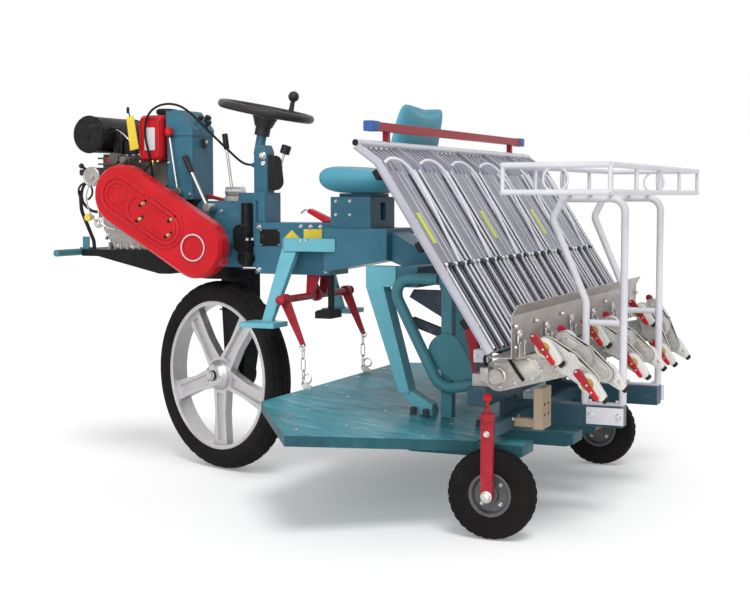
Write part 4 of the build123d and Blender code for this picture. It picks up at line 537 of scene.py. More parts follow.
class Piece:
    """Mesh under construction, made of closed forms that each have a finish of their own.

    Its points are in metres of the frame, and its sizes in mm.
    """

    def __init__(self, name, body="root"):
        self.name, self.body = name, body
        self.mesh = bmesh.new()
        self.finishes = []

    def _finish(self, finish):
        if finish not in self.finishes:
            self.finishes.append(finish)
        return self.finishes.index(finish)

    def faces(self, points, faces, finish, smooth=True):
        index = self._finish(finish)
        made = [self.mesh.verts.new(point) for point in points]
        for corners in faces:
            face = self.mesh.faces.new([made[corner] for corner in corners])
            face.material_index = index
            face.smooth = smooth

    def rings(self, rings, finish, closed=False, smooth=True):
        """Skin over rings of points that all have the same count, with a cap on both ends unless closed."""
        count = len(rings[0])
        points = [point for ring in rings for point in ring]
        faces = []
        for step in range(len(rings) if closed else len(rings) - 1):
            here, there = step * count, ((step + 1) % len(rings)) * count
            for k in range(count):
                follow = (k + 1) % count
                faces.append((here + k, here + follow, there + follow, there + k))
        if not closed:
            faces.append(tuple(range(count - 1, -1, -1)))
            faces.append(tuple((len(rings) - 1) * count + k for k in range(count)))
        self.faces(points, faces, finish, smooth)

    def turned(self, origin, axis, profile, finish, sides=ROUND_SIDES, smooth=True):
        """Solid of revolution from (radius, height) pairs in mm along axis."""
        axis = Vector(axis).normalized()
        side = axis.orthogonal().normalized()
        other = axis.cross(side)
        self.rings([circle(origin + axis * mm(height), side, other, max(radius, 0.05), sides)
                    for radius, height in profile], finish, smooth=smooth)

    def tube(self, points, radius, finish, sides=12, curved=True):
        """Round tube of one radius along a smooth curve or straight runs through points."""
        path = smooth_line(points) if curved else points
        rings, side = [], None
        for index, point in enumerate(path):
            before, after = path[max(index - 1, 0)], path[min(index + 1, len(path) - 1)]
            along = (after - before).normalized()
            if side is None:
                side = along.orthogonal().normalized()
            side = (side - along * side.dot(along)).normalized()
            rings.append(circle(point, side, along.cross(side), radius, sides))
        self.rings(rings, finish)

    def ring(self, centre, first, second, radius, wire, finish, count=RING_COUNT, sides=8):
        """Closed ring of round wire in the plane of two unit directions."""
        normal = Vector(first).cross(Vector(second))
        self.rings([circle(point, (point - centre).normalized(), normal, wire, sides)
                    for point in circle(centre, first, second, radius, count)], finish, closed=True)

    def bead(self, points, radius, finish, sides=8):
        """Closed bead of round wire along a flat outline."""
        rings, count = [], len(points)
        normal = sum(((point - points[0]).cross(points[(k + 1) % count] - points[0])
                      for k, point in enumerate(points)), Vector()).normalized()
        for index, point in enumerate(points):
            along = (points[(index + 1) % count] - points[index - 1]).normalized()
            rings.append(circle(point, along.cross(normal).normalized(), normal, radius, sides))
        self.rings(rings, finish, closed=True)

    def side_slab(self, outline, y0, y1, finish, round_off=2.0, origin=(0.0, 0.0, 0.0)):
        """Plate whose side view is the outline, with rounded rims, about an origin in mm."""
        low, high = min(y0, y1), max(y0, y1)
        rings = []
        for y, inset in ((low, round_off), (low + 0.3 * round_off, 0.3 * round_off), (low + round_off, 0.0),
                         (high - round_off, 0.0), (high - 0.3 * round_off, 0.3 * round_off),
                         (high, round_off)):
            rings.append([at(origin[0] + x, origin[1] + y, origin[2] + z)
                          for x, z in inset_outline(outline, inset)])
        self.rings(rings, finish)

    def limits(self, x, y, z, finish, round_off=2.0):
        """Block between two limits in mm along each axis."""
        centre = at(sum(x) / 2, sum(y) / 2, sum(z) / 2)
        self.block(centre, (x[1] - x[0], y[1] - y[0], z[1] - z[0]), finish, round_off)

    def block(self, centre, size, finish, round_off=2.0, turn=None):
        """Block with rounded edges, turned by a matrix about its centre."""
        made = bmesh.ops.create_cube(self.mesh, size=1.0)["verts"]
        for vert in made:
            vert.co = Vector((vert.co.x * mm(size[0]), vert.co.y * mm(size[1]), vert.co.z * mm(size[2])))
        edges = {edge for vert in made for edge in vert.link_edges}
        result = bmesh.ops.bevel(self.mesh, geom=list(edges) + made, offset=mm(round_off), segments=2,
                                 profile=0.6, affect="EDGES", clamp_overlap=True)
        made = list({vert for face in result["faces"] for vert in face.verts}
                    | {v for v in made if v.is_valid})
        shift = Matrix.Translation(centre) @ (turn.to_4x4() if turn else Matrix.Identity(4))
        bmesh.ops.transform(self.mesh, matrix=shift, verts=made)
        index = self._finish(finish)
        for face in {face for vert in made for face in vert.link_faces}:
            face.material_index = index
            face.smooth = True

    def bolt(self, origin, axis, across, finish="zinc", washer=True, rise=0.62):
        """Hexagon head with its chamfer, on a washer."""
        radius = across / 2
        base = 0.0
        if washer:
            self.turned(origin, axis, [(radius * 1.35, 0), (radius * 1.38, 1.0), (radius * 1.3, 1.6)], finish)
            base = 1.5
        top = base + across * rise
        self.turned(origin, axis, [(radius * 1.1, base), (radius * 1.1, top - 1.0), (radius * 0.95, top)],
                    finish, BOLT_SIDES, False)

    def bolts(self, places, axis, across, finish="zinc", washer=True):
        """The same bolt at several places in mm."""
        for place in places:
            self.bolt(at(*place), axis, across, finish, washer)

    def side_bolts(self, places, across):
        """The same bolt at places in mm on both sides of the machine, facing outwards."""
        for x, y, z in places:
            for side in (1, -1):
                self.bolt(at(x, y * side, z), (0, side, 0), across)

    def done(self, slot, angle=35.0):
        bmesh.ops.recalc_face_normals(self.mesh, faces=self.mesh.faces)
        data = bpy.data.meshes.new(self.name)
        self.mesh.to_mesh(data)
        self.mesh.free()
        made = add(self.name, data)
        for finish in self.finishes:
            data.materials.append(FINISH[finish])
        data.shade_smooth()
        data.set_sharp_from_angle(angle=math.radians(angle))
        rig.ride(made, self.body)
        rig.slot(made, slot)
        return made


def inset_outline(outline, inset):
    """The outline, drawn in by inset, for shapes with no sharp hollows."""
    if not inset:
        return outline
    middle_u = sum(u for u, _ in outline) / len(outline)
    middle_v = sum(v for _, v in outline) / len(outline)
    drawn = []
    for u, v in outline:
        away = math.hypot(u - middle_u, v - middle_v)
        keep = (away - inset) / away if away > inset else 1.0
        drawn.append((middle_u + (u - middle_u) * keep, middle_v + (v - middle_v) * keep))
    return drawn


def smooth_line(points, steps=8):
    """Points of a smooth curve that goes through every given point."""
    given = [points[0] * 2 - points[1]] + points + [points[-1] * 2 - points[-2]]
    line = []
    for k in range(1, len(given) - 2):
        a, b, c, d = given[k - 1:k + 3]
        for step in range(steps):
            t = step / steps
            line.append(0.5 * (2 * b + (c - a) * t + (2 * a - 5 * b + 4 * c - d) * t * t
                               + (3 * b - a - 3 * c + d) * t ** 3))
    line.append(given[-2])
    return line


def on_circle(centre, first, second, radius, turn):
    """Point on a circle in the plane of two unit directions, radius in mm, turn in radians."""
    return centre + (Vector(first) * math.cos(turn) + Vector(second) * math.sin(turn)) * mm(radius)


def circle(centre, first, second, radius, count, start=0.0):
    """Evenly spaced points all round a circle, from a start in radians."""
    return [on_circle(centre, first, second, radius, start + 2 * math.pi * k / count) for k in range(count)]


def tone_setting(name, description, default):
    return bpy.props.FloatVectorProperty(name=name, description=description, subtype="COLOR", size=3,
                                         default=default)


def strength_setting(name, description, default, most):
    return bpy.props.FloatProperty(name=name, description=description, default=default, min=0.0, max=most)


class TransplanterTones(bpy.types.PropertyGroup):
    """Colours of the machine's paints."""

    teal: tone_setting("Teal", "Beam, column, gearbox and hood enamel", (0.045, 0.147, 0.212))
    teal_light: tone_setting("Pale teal", "Legs and footrests", (0.145, 0.420, 0.500))
    deck: tone_setting("Deck", "Brushed paint of the pontoon", (0.040, 0.265, 0.335))
    dark_teal: tone_setting("Dark teal", "Tool beams", (0.030, 0.075, 0.105))
    red: tone_setting("Red", "Belt guard and fuel tank", (0.520, 0.013, 0.020))
    # Deep red is darkened in part to paint the shade that falls on the wheel legs into the tone.
    deep_red: tone_setting("Deep red", "Lift arms, struts and wheel legs", (0.340, 0.020, 0.032))
    white: tone_setting("White", "Rack and basket", (0.640, 0.640, 0.680))
    cream: tone_setting("Cream", "Planting arm castings", (0.640, 0.630, 0.590))
    beige: tone_setting("Beige", "Bracket beside the planting units", (0.400, 0.310, 0.220))
    yellow: tone_setting("Yellow", "Bare plates on the beam", (0.760, 0.560, 0.060))
    seat: tone_setting("Seat", "Moulded vinyl of the seat", (0.085, 0.320, 0.420))


class TransplanterStudio(bpy.types.PropertyGroup):
    """Studio round the machine."""

    fill: strength_setting("Fill", "Strength of the white surroundings as light", 0.46, 2.0)
    key: strength_setting("Key", "Strength of the main lamp", 1.5, 10.0)
    side: strength_setting("Side", "Strength of the lamp beside the camera", 1.15, 10.0)
    lens: bpy.props.FloatProperty(name="Lens", description="Focal length of the camera", default=66.87,
                                  min=10.0, max=300.0, subtype="DISTANCE_CAMERA")


class OBJECT_OT_transplanter_studio(bpy.types.Operator):
    """Make the floor, the white surroundings, the lamps and the camera"""

    bl_idname = "object.transplanter_studio"
    bl_label = "Studio"

    def execute(self, context):
        scene = context.scene
        studio = scene.transplanter_studio
        scene.view_settings.view_transform = "Standard"
        world = bpy.data.worlds.new("studio_white")
        scene.world = world
        world.use_nodes = True
        sky = Nodes(world.node_tree, "Background")
        camera_ray = sky.node("ShaderNodeLightPath", {}, {}, "Is Camera Ray")
        seen = camera_ray.larger(camera_ray.beside("Is Glossy Ray"))
        seen = seen.larger(camera_ray.beside("Is Transmission Ray"))
        sky.feed("Strength", seen.between(0.0, 1.0, studio.fill, 1.0))
        sky.shader.inputs["Color"].default_value = (1.0, 1.0, 1.0, 1.0)

        floor_mesh = bpy.data.meshes.new("floor")
        corners = [(x * FLOOR_HALF, y * FLOOR_HALF, 0) for x, y in ((-1, -1), (1, -1), (1, 1), (-1, 1))]
        floor_mesh.from_pydata(corners, [], [(0, 1, 2, 3)])
        pale = Paint("pale_floor", Roughness=0.9)
        pale.feed("Base Color", pale.mix(pale.noise(0.7), (0.93, 0.93, 0.93, 1.0), (0.95, 0.95, 0.95, 1.0)))
        pale.shader.inputs["Emission Color"].default_value = (1.0, 1.0, 1.0, 1.0)
        pale.shader.inputs["Emission Strength"].default_value = 0.16
        floor_mesh.materials.append(pale.material)
        floor = add("floor", floor_mesh)
        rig.stage(floor)

        for name, strength, spread, towards in (("key", studio.key, 24.0, (0.35, -0.55, -1.0)),
                                                ("side", studio.side, 40.0, (0.12, -1.0, -0.30))):
            lamp = bpy.data.lights.new(name, "SUN")
            lamp.energy = strength
            lamp.angle = math.radians(spread)
            add(name, lamp).rotation_euler = Vector(towards).to_track_quat("-Z", "Y").to_euler()

        camera_data = bpy.data.cameras.new("camera")
        camera_data.lens = studio.lens
        camera_data.sensor_width = 36.0
        camera_data.clip_end = 100.0
        camera = add("camera", camera_data)
        camera.location = at(*CAMERA_MM)
        tilt = math.radians(CAMERA_TILT_DEG)
        away = Vector((CAMERA_AWAY[0] * math.cos(tilt), CAMERA_AWAY[1] * math.cos(tilt), -math.sin(tilt)))
        camera.rotation_euler = away.to_track_quat("-Z", "Y").to_euler()
        scene.camera = camera
        return {"FINISHED"}


FLOOR_HALF = 30.0
# place in mm of the drawing, level direction, fall below the level
CAMERA_MM = (-1220.0, 4209.0, 950.0)
CAMERA_AWAY = (0.399, -0.917)
CAMERA_TILT_DEG = 4.31


class OBJECT_OT_transplanter_finishes(bpy.types.Operator):
    """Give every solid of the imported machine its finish"""

    bl_idname = "object.transplanter_finishes"
    bl_label = "Finishes"

    def execute(self, context):
        make_finishes(context.scene.transplanter_tones)
        named = {node: finish for finish, nodes in CAD_FINISHES.items() for node in nodes}
        bare = sorted(set(NODES) - set(named))
        if bare:
            raise RuntimeError("no finish for %s" % bare)
        for node, finish in named.items():
            data = NODES[node].data
            data.materials.clear()
            data.materials.append(FINISH[finish])
        return {"FINISHED"}


def hull(x0, z0, r0, x1, z1, r1, steps=10):
    """Outline of two circles in side view and their tangents, as (x, z) in mm."""
    away = math.atan2(z1 - z0, x1 - x0)
    gap = math.hypot(x1 - x0, z1 - z0)
    swing = math.acos((r0 - r1) / gap)
    points = []
    for cx, cz, r, start, end in ((x1, z1, r1, away + swing, away - swing),
                                  (x0, z0, r0, away - swing, away + swing - 2 * math.pi)):
        for k in range(steps + 1):
            turn = start + (end - start) * k / steps
            points.append((cx + r * math.cos(turn), cz + r * math.sin(turn)))
    return points


class OBJECT_OT_transplanter_cable(bpy.types.Operator):
    """Lay the throttle cable from the engine to the column"""

    bl_idname = "object.transplanter_cable"
    bl_label = "Throttle cable"

    def execute(self, context):
        data = bpy.data.curves.new("throttle_cable_sheath", "CURVE")
        data.dimensions = "3D"
        data.bevel_depth = mm(CABLE_R)
        data.bevel_resolution = 3
        data.resolution_u = 8
        data.use_fill_caps = True
        line = data.splines.new("NURBS")
        line.points.add(len(CABLE_ROUTE) - 1)
        for point, place in zip(line.points, CABLE_ROUTE):
            point.co = (*at(*place), 1.0)
        line.order_u = 3
        line.use_endpoint_u = True
        cable = add("throttle_cable_sheath", data)
        data.materials.append(FINISH["hose"])
        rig.ride(cable, "root")
        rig.slot(cable, "rubber_pad")
        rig.replaces(cable, "throttle_cable")
        length = sum((Vector(b) - Vector(a)).length for a, b in zip(CABLE_ROUTE, CABLE_ROUTE[1:]))
        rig.cord(cable, exit=tuple(at(*CABLE_ROUTE[0])), length=mm(length) * CABLE_SHORTER,
                diameter=2 * mm(CABLE_R), far_end="object", stiffness="stiff", lay="loose")
        return {"FINISHED"}


CABLE_R = 4.0
# the curve's length as a share of its route's runs
CABLE_SHORTER = 0.985
CABLE_ROUTE = ((1400.0, 104.0, 1006.0), (1402.0, 105.0, 1046.0), (1410.0, 113.0, 1098.0),
               (1420.0, 119.0, 1152.0), (1418.0, 119.0, 1204.0), (1396.0, 112.0, 1243.0),
               (1356.0, 98.0, 1262.0), (1308.0, 83.0, 1258.0), (1266.0, 72.0, 1230.0), (1222.0, 62.0, 1186.0),
               (1180.0, 50.0, 1142.0), (1140.0, 36.0, 1102.0), (1110.0, 22.0, 1070.0), (1086.0, 12.6, 1053.2),
               (1061.0, 12.0, 1052.0))


class OBJECT_OT_transplanter_seat(bpy.types.Operator):
    """Mould the padded seat"""

    bl_idname = "object.transplanter_seat"
    bl_label = "Seat"

    def execute(self, context):
        rings = []
        for x, z, heading, thick, half, lift, dip in SEAT_STATIONS:
            turn = math.radians(heading)
            along = Vector((math.cos(turn), 0, math.sin(turn)))
            out = Vector((math.sin(turn), 0, -math.cos(turn)))
            ring = []
            for k in range(SEAT_POINTS):
                angle = 2 * math.pi * k / SEAT_POINTS
                c, s = math.cos(angle), math.sin(angle)
                y = half * math.copysign(abs(c) ** 0.55, c)
                depth = 0.5 * thick * math.copysign(abs(s) ** 0.75, s)
                share = (y / half) ** 2
                ring.append(at(x, y, z) + out * mm(depth + lift * share ** 2)
                            - along * mm(dip * (1.0 - share)))
            rings.append(ring)
        seat = Piece("seat_cushion")
        seat.rings(rings, "vinyl")
        made = seat.done("seat_shell", 180.0)
        smoother = made.modifiers.new("smooth", "SUBSURF")
        smoother.levels = smoother.render_levels = 2
        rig.replaces(made, "seat")
        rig.padded(made, fill=0.95)
        return {"FINISHED"}


SEAT_POINTS = 28
# x, z, heading in degrees, thickness, half width, side lift, dip of the edge
SEAT_STATIONS = (
    (741, 1000, 180, 10, 128, 2, 0), (738, 1000, 180, 54, 166, 4, 0), (724, 1000, 180, 82, 184, 8, 0),
    (694, 1000, 180, 90, 190, 12, 0), (648, 998, 180, 86, 190, 14, 0), (600, 993, 178, 76, 190, 16, 0),
    (552, 990, 172, 68, 190, 18, 0), (512, 1000, 145, 60, 188, 18, 0), (484, 1030, 120, 54, 185, 18, 0),
    (466, 1076, 107, 48, 182, 18, 0), (454, 1126, 102, 46, 180, 16, 0), (446, 1176, 98, 42, 178, 12, 6),
    (441, 1208, 95, 38, 174, 8, 20), (438, 1228, 93, 28, 168, 5, 30), (436, 1237, 93, 8, 152, 3, 34),
)


class OBJECT_OT_transplanter_tyres(bpy.types.Operator):
    """Mould the three tyres with their treads and side rings"""

    bl_idname = "object.transplanter_tyres"
    bl_label = "Tyres"

    def execute(self, context):
        for name, node, body, centre, turn, outer, bead, width, blocks, groove in TYRES:
            make_tyre(name, node, body, at(*centre), math.radians(turn), outer, bead, width, blocks, groove)
        return {"FINISHED"}


# piece, node, body, centre, turn about the upright, outer and bead radius, width, tread blocks, groove depth
TYRES = [("drive_tyre_tread", "drive_tyre", "drive_wheel", DRIVE_AT, DRIVE_TURN_DEG, DRIVE_AT[2],
          DRIVE_RIM_R, 80.0, 46, 5.0)]
TYRES += [("tyre_%s_tread" % name, "tyre_" + name, "wheel_" + name, (0, GROUND_Y * side, GROUND_R), 0.0,
           GROUND_R, 62.0, GROUND_WIDE, 30, 2.5) for side, name in SIDES]


def make_tyre(name, node, body, centre, turn, outer, bead, width, blocks, groove):
    """Tyre as one skin: section loops round the axle, with staggered grooves cut in the tread."""
    half = width / 2
    wall = outer - bead
    axis = Vector((-math.sin(turn), math.cos(turn), 0))
    ahead = Vector((math.cos(turn), math.sin(turn), 0))
    section = [(share, bead + max(rise * wall, 0.4)) for share, rise in TYRE_WALL]
    crown = 0.94 * outer
    tread = []
    for k in range(13):
        share = TREAD_HALF * (k / 6 - 1)
        bulge = max(0.0, 1 - (share / TREAD_HALF) ** 2) ** 0.5
        tread.append((share, crown + (outer - crown) * bulge))
    loop = ([(share, radius, False) for share, radius in section]
            + [(share, radius, True) for share, radius in tread]
            + [(-share, radius, False) for share, radius in reversed(section)])
    count = blocks * STEPS_A_BLOCK
    rings = []
    for k in range(count):
        phase = k % STEPS_A_BLOCK
        ring = []
        for share, radius, treaded in loop:
            late = phase if share < 0 else (phase + STEPS_A_BLOCK // 2) % STEPS_A_BLOCK
            off_groove = abs(share) - LONG_GROOVE_AT
            if treaded and (late == 0 and off_groove > 0.01 or abs(off_groove) < 0.01):
                radius -= groove
            ring.append(on_circle(centre + axis * mm(share * half), ahead, UP, radius,
                                  2 * math.pi * k / count))
        rings.append(ring)
    tyre = Piece(name, body)
    tyre.rings(rings, "tyre", closed=True)
    made = tyre.done("tyre_rubber", 28.0)
    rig.replaces(made, node)


# shares of the tyre's half width
TREAD_HALF = 0.9
LONG_GROOVE_AT = 0.15
STEPS_A_BLOCK = 4
# share of the half width, share of the wall's height
TYRE_WALL = ((-0.78, 0.0), (-0.86, 0.10), (-0.98, 0.32), (-1.0, 0.46), (-0.985, 0.52), (-1.0, 0.55),
             (-0.985, 0.60), (-0.96, 0.74))


class OBJECT_OT_transplanter_wheels(bpy.types.Operator):
    """Add the wheels' rings, bolts, caps and valve, and the pins of the ground wheels' legs"""

    bl_idname = "object.transplanter_wheels"
    bl_label = "Wheel fittings"

    def execute(self, context):
        turn = math.radians(DRIVE_TURN_DEG)
        axis = Vector((-math.sin(turn), math.cos(turn), 0))
        ahead = Vector((math.cos(turn), math.sin(turn), 0))
        centre = at(*DRIVE_AT)
        fittings = Piece("drive_wheel_fittings", "drive_wheel")
        for side in (-1, 1):
            fittings.ring(centre + axis * mm(31.5 * side), ahead, UP, DRIVE_RIM_R - 3.5, 3.0, "wheel_cast",
                          72)
        fittings.turned(centre, axis, [(50, 24), (51, 26), (47, 30), (40, 42.4), (37, 45), (24, 46)],
                        "wheel_cast", 36)
        for place in circle(centre + axis * mm(44), ahead, UP, 33, 5, math.pi / 5):
            fittings.bolt(place, axis, 9)
        valve = on_circle(centre + axis * mm(20), ahead, UP, 236, math.radians(100))
        fittings.turned(valve, axis, [(3.5, 0), (3.5, 16), (2.6, 18), (2.6, 26)], "rubber", 10)
        fittings.done("wheel_cast")
        nut = Piece("drive_axle_nut", "steer")
        nut.bolt(centre + axis * mm(52), axis, 22, rise=0.4)
        nut.done("bright_steel")
        for side, name in SIDES:
            hub = Piece("hub_%s_fittings" % name, "wheel_" + name)
            for face in (-1, 1):
                for place in circle(at(0, GROUND_Y * side + 8 * face, GROUND_R), FORWARD, UP, 38, 4,
                                    math.pi / 4):
                    hub.bolt(place, (0, face, 0), 9)
                hub.ring(at(0, GROUND_Y * side + 23.5 * face, GROUND_R), FORWARD, UP, 59.5, 1.8, "hub_cast")
            hub.done("dark_steel")
            pin = Piece("wheel_leg_%s_fittings" % name)
            pin.bolt(at(0, LEG_FACE_Y * side, GROUND_R), (0, side, 0), 24, rise=0.4)
            pin.bolt(at(0, LEG_FACE_Y * side, 300), (0, side, 0), 13)
            pin.turned(at(0, (LEG_FACE_Y - LEG_THICK / 2) * side, 374), UP,
                       [(4, -4), (4, 14), (9, 18), (12, 24), (12, 30), (8, 35), (2, 37)], "red", 18)
            pin.done("red_paint")
        return {"FINISHED"}


class OBJECT_OT_transplanter_arms(bpy.types.Operator):
    """Cast the planting arms with their claws and seals, and add the rotors' covers"""

    bl_idname = "object.transplanter_arms"
    bl_label = "Planting arms"

    def execute(self, context):
        for unit, index, turn in UNITS:
            ahead, rise = arm_offset(turn)
            for level, end in (("upper", 1), ("lower", -1)):
                pair = Piece("planting_arms_%s_%s" % (level, unit), "arms_%s_%s" % (level, unit))
                for side in (-1, 1):
                    make_arm(pair, (PLANT_X + end * ahead, index * UNIT_PITCH, PLANT_Z + end * rise), side)
                made = pair.done("arm_cast", 40.0)
                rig.replaces(made, "arms_%s_%s" % (level, unit))
            rotor_fittings(unit, index, turn)
        return {"FINISHED"}


def arm_offset(turn):
    """How far ahead of and above its rotor's axis the upper arms pivot, in mm, at an angle in degrees."""
    rest = math.radians(turn)
    return (ARM_AHEAD * math.cos(rest) - ARM_RISE * math.sin(rest),
            ARM_AHEAD * math.sin(rest) + ARM_RISE * math.cos(rest))


def make_arm(pair, pivot, side):
    """One arm about its pivot: body, ribbed cover, nose roller, seal and claw."""
    near, far = side * ARM_NEAR, side * ARM_FAR
    pair.side_slab(hull(0, 0, 25, -38, -35, 13), near, far, "cream", 4.0, pivot)
    for y, away in ((near, -side), (far, side)):
        pair.side_slab(hull(-3, -3, 16, -30, -28, 8), y, y + away * 1.6, "cream", 1.0, pivot)
    x, y, z = pivot
    nose_axis = Vector((-0.727, 0, -0.687))
    nose_at = at(x - 42, y + (near + far) / 2, z - 39)
    for profile, finish in (([(11, -8), (11, 2), (10.5, 4)], "cream"),
                            ([(9.5, 3), (10, 5), (10, 12), (8, 15.5), (2, 16.5)], "rubber"),
                            ([(11.3, 3.4), (11.3, 5.4)], "zinc")):
        pair.turned(nose_at, nose_axis, profile, finish, 16)
    outer = far + side * 13
    pair.side_slab(hull(22, 26, 11, -8, -12, 8), far + side * 0.5, outer, "deep_red", 2.5, pivot)
    pair.side_slab(hull(4, 3, 9, -29, -41, 5.5), far + side * 2, outer - side * 2, "red", 2.0, pivot)
    pair.side_slab(hull(-22, -32, 5, -30, -43, 3.5), far + side * 4, outer - side * 4, "rubber", 1.0, pivot)
    axis = (0, side, 0)
    seal_at = at(x - 2, y + far, z - 4)
    pair.turned(seal_at, axis, [(17, -1), (17, 2), (15, 4), (9, 4.6)], "ochre", 20)
    pair.turned(seal_at, axis, [(9, 3), (9, 7), (7.5, 8)], "cast", 16)
    pair.bolts([(x + dx, y + near, z + dz) for dx, dz in ((16, 12), (-8, -16), (-34, -22))], (0, -side, 0), 7)
    pair.bolts([(x + dx, y + outer, z + dz) for dx, dz in ((25, 30), (-4, -5), (-17, -23))], axis, 6,
               washer=False)


def rotor_fittings(unit, index, turn):
    """Flanges, bolted covers and shaft ends of the two gear boxes on a rotor."""
    piece = Piece("rotor_%s_fittings" % unit, "rotor_" + unit)
    origin = (PLANT_X, index * UNIT_PITCH, PLANT_Z)
    for side in (-1, 1):
        inner, outer = side * (ROW_PITCH / 2 - 60), side * (ROW_PITCH / 2 - 30)
        middle = (inner + outer) / 2
        cover = inner - side * 2.5
        for end in (-1, 1):
            ahead, rise = (end * offset for offset in arm_offset(turn))
            for grow, half, finish in ((2.5, 3.5, "cream"), (1.4, 4.6, "rubber")):
                flange = hull(0, 0, ROTOR_R + grow, ahead, rise, ROTOR_END_R + grow)
                piece.side_slab(flange, middle - half, middle + half, finish, 0.8, origin)
            piece.side_slab(hull(end * 6, end * 4, 21, ahead * 0.92, rise * 0.92, 16), cover, inner + side,
                            "cast", 1.5, origin)
            piece.turned(at(origin[0] + ahead, origin[1] + outer, origin[2] + rise), (0, side, 0),
                         [(18, -1), (18, 1.0), (16, 1.8)], "zinc", 20)
            long = math.hypot(ahead, rise)
            for share, across in ((0.35, 15), (0.35, -15), (0.95, 13), (0.95, -13)):
                piece.bolt(at(origin[0] + ahead * share - across * rise / long, origin[1] + cover,
                              origin[2] + rise * share + across * ahead / long),
                           (0, -side, 0), 6, washer=False)
    piece.done("rotor_cast")


class OBJECT_OT_transplanter_engine(bpy.types.Operator):
    """Add the engine's covers, lines and starter, the canister's bands and the blank tag"""

    bl_idname = "object.transplanter_engine"
    bl_label = "Engine fittings"

    def execute(self, context):
        case = Piece("engine_fittings")
        case.side_bolts([(x, CRANK_FACE_Y, z) for x, z in CRANK_BOLTS], 11)
        for k in range(9):
            case.limits((1368 + 25 * k, 1372 + 25 * k), (-114, 124), (762, 786), "cast", 1.0)
        case.bolts([(1598, y, z) for y, z in COVER_BOLTS], FORWARD, 11)
        case.limits((1594, 1606), (-70, 70), (822, 950), "cast", 5.0)
        case.limits((1600, 1622), (10, 96), (985, 1000), "cast", 4.0)
        case.turned(at(1596, 178, 1013), LEFT,
                    [(29, -2), (34, 0), (34, 7), (30, 10), (27, 8), (14, 9), (12, 13), (3, 14)],
                    "rail_sheet", 36)
        for place in circle(at(1596, 184, 1013), FORWARD, UP, 30, 6, math.radians(15)):
            case.bolt(place, LEFT, 6, washer=False)
        case.turned(at(1640, 140, 872), LEFT, [(8, -22), (8, 0), (13, 1), (13, 9), (10, 12)], "yellow", 18)
        case.turned(at(1612, 122, 850), LEFT, [(16, -2), (16, 3), (11, 5), (11, 12), (6, 14)], "zinc", 20)
        case.block(at(1652, 146, 1028), (26, 26, 22), "plastic", 6.0)
        case.turned(at(1648, 158, 1046), (0.5, 0.6, 0.6), [(5, -12), (5, 0), (9, 3), (9, 12), (6, 15)],
                    "plastic", 14)
        case.limits((1556, 1592), (96, 99), (1062, 1080), "red", 1.0)
        case.limits((1500, 1530), (60, 100), (1058, 1082), "dark_cast", 6.0)
        case.turned(at(1514, 96, 1070), LEFT, [(12, 0), (13, 4), (13, 22), (9, 26)], "dark_cast", 18)
        case.bolts([(x, y, 1086) for x in (1508, 1536, 1566, 1596, 1616) for y in (-58, 58)], UP, 9,
                   washer=False)
        case.done("cast_metal")
        pipes = Piece("engine_pipes")
        for finish, radius, points in ENGINE_PIPES:
            pipes.tube([at(*point) for point in points], radius, finish)
        pipes.tube([on_circle(at(1666, 121, 962), FORWARD, UP, 29, math.radians(10 * k - 70))
                    for k in range(33)], 3.6, "black")
        pipes.done("black_steel")
        starter = Piece("starter_fittings")
        starter.turned(at(1454, -180, 905), RIGHT,
                       [(106, -2), (108, 2), (100, 8), (70, 12), (66, 10), (22, 11), (20, 14)], "black", 48)
        for k, place in enumerate(circle(at(1454, -188, 905), FORWARD, UP, 86, 16)):
            starter.block(place, (20, 5, 5), "slate", 1.0, Matrix.Rotation(-math.pi * k / 8, 3, "Y"))
        starter.block(at(1530, -186, 990), (30, 16, 12), "rubber", 4.0)
        for place in circle(at(1454, -178, 905), FORWARD, UP, 112, 4, math.pi / 4):
            starter.bolt(place, RIGHT, 9)
        starter.done("black_steel")
        can = Piece("canister_fittings")
        for y in (-137, 137):
            can.ring(at(1635, y, 1160), FORWARD, UP, 63.5, 2.2, "black")
        can.turned(at(1635, 141, 1160), LEFT,
                   [(58, -1), (60, 1), (52, 2.5), (20, 3), (9, 4), (9, 9), (4, 10)], "black", 40)
        for y in (-60, 60):
            can.limits((1560, 1582), (y - 12, y + 12), (1098, 1172), "black", 2.0)
            can.bolt(at(1582, y, 1104), UP, 9)
        can.block(at(1560, 90, 1180), (46, 10, 10), "black", 3.0)
        can.done("black_steel")
        tag = Piece("blank_tag")
        corners = ((1492, 1214), (1463, 1223), (1443, 1109), (1478, 1102))
        tag.rings([[at(x, y, z) for x, z in corners] for y in (121.0, 122.5)], "yellow", smooth=False)
        tag.tube([at(1486, 119, 1246), at(1480, 120, 1220), at(1458, 120, 1100), at(1440, 116, 1040)], 2.2,
                 "black")
        tag.turned(at(1487, 119, 1240), UP, [(4, -10), (5, -6), (5, 8), (3, 12)], "rubber", 12)
        tag.done("bright_steel")
        return {"FINISHED"}


# x, z of the crankcase's side bolts
CRANK_BOLTS = ((1366, 800), (1366, 880), (1372, 970), (1430, 974), (1500, 974), (1560, 974),
               (1588, 930), (1590, 870), (1572, 812), (1530, 776), (1470, 772), (1410, 772))
# y, z of the bolts of the crankcase's front cover
COVER_BOLTS = ((-90, 800), (-90, 960), (90, 800), (90, 960), (0, 970), (-30, 800), (30, 800))
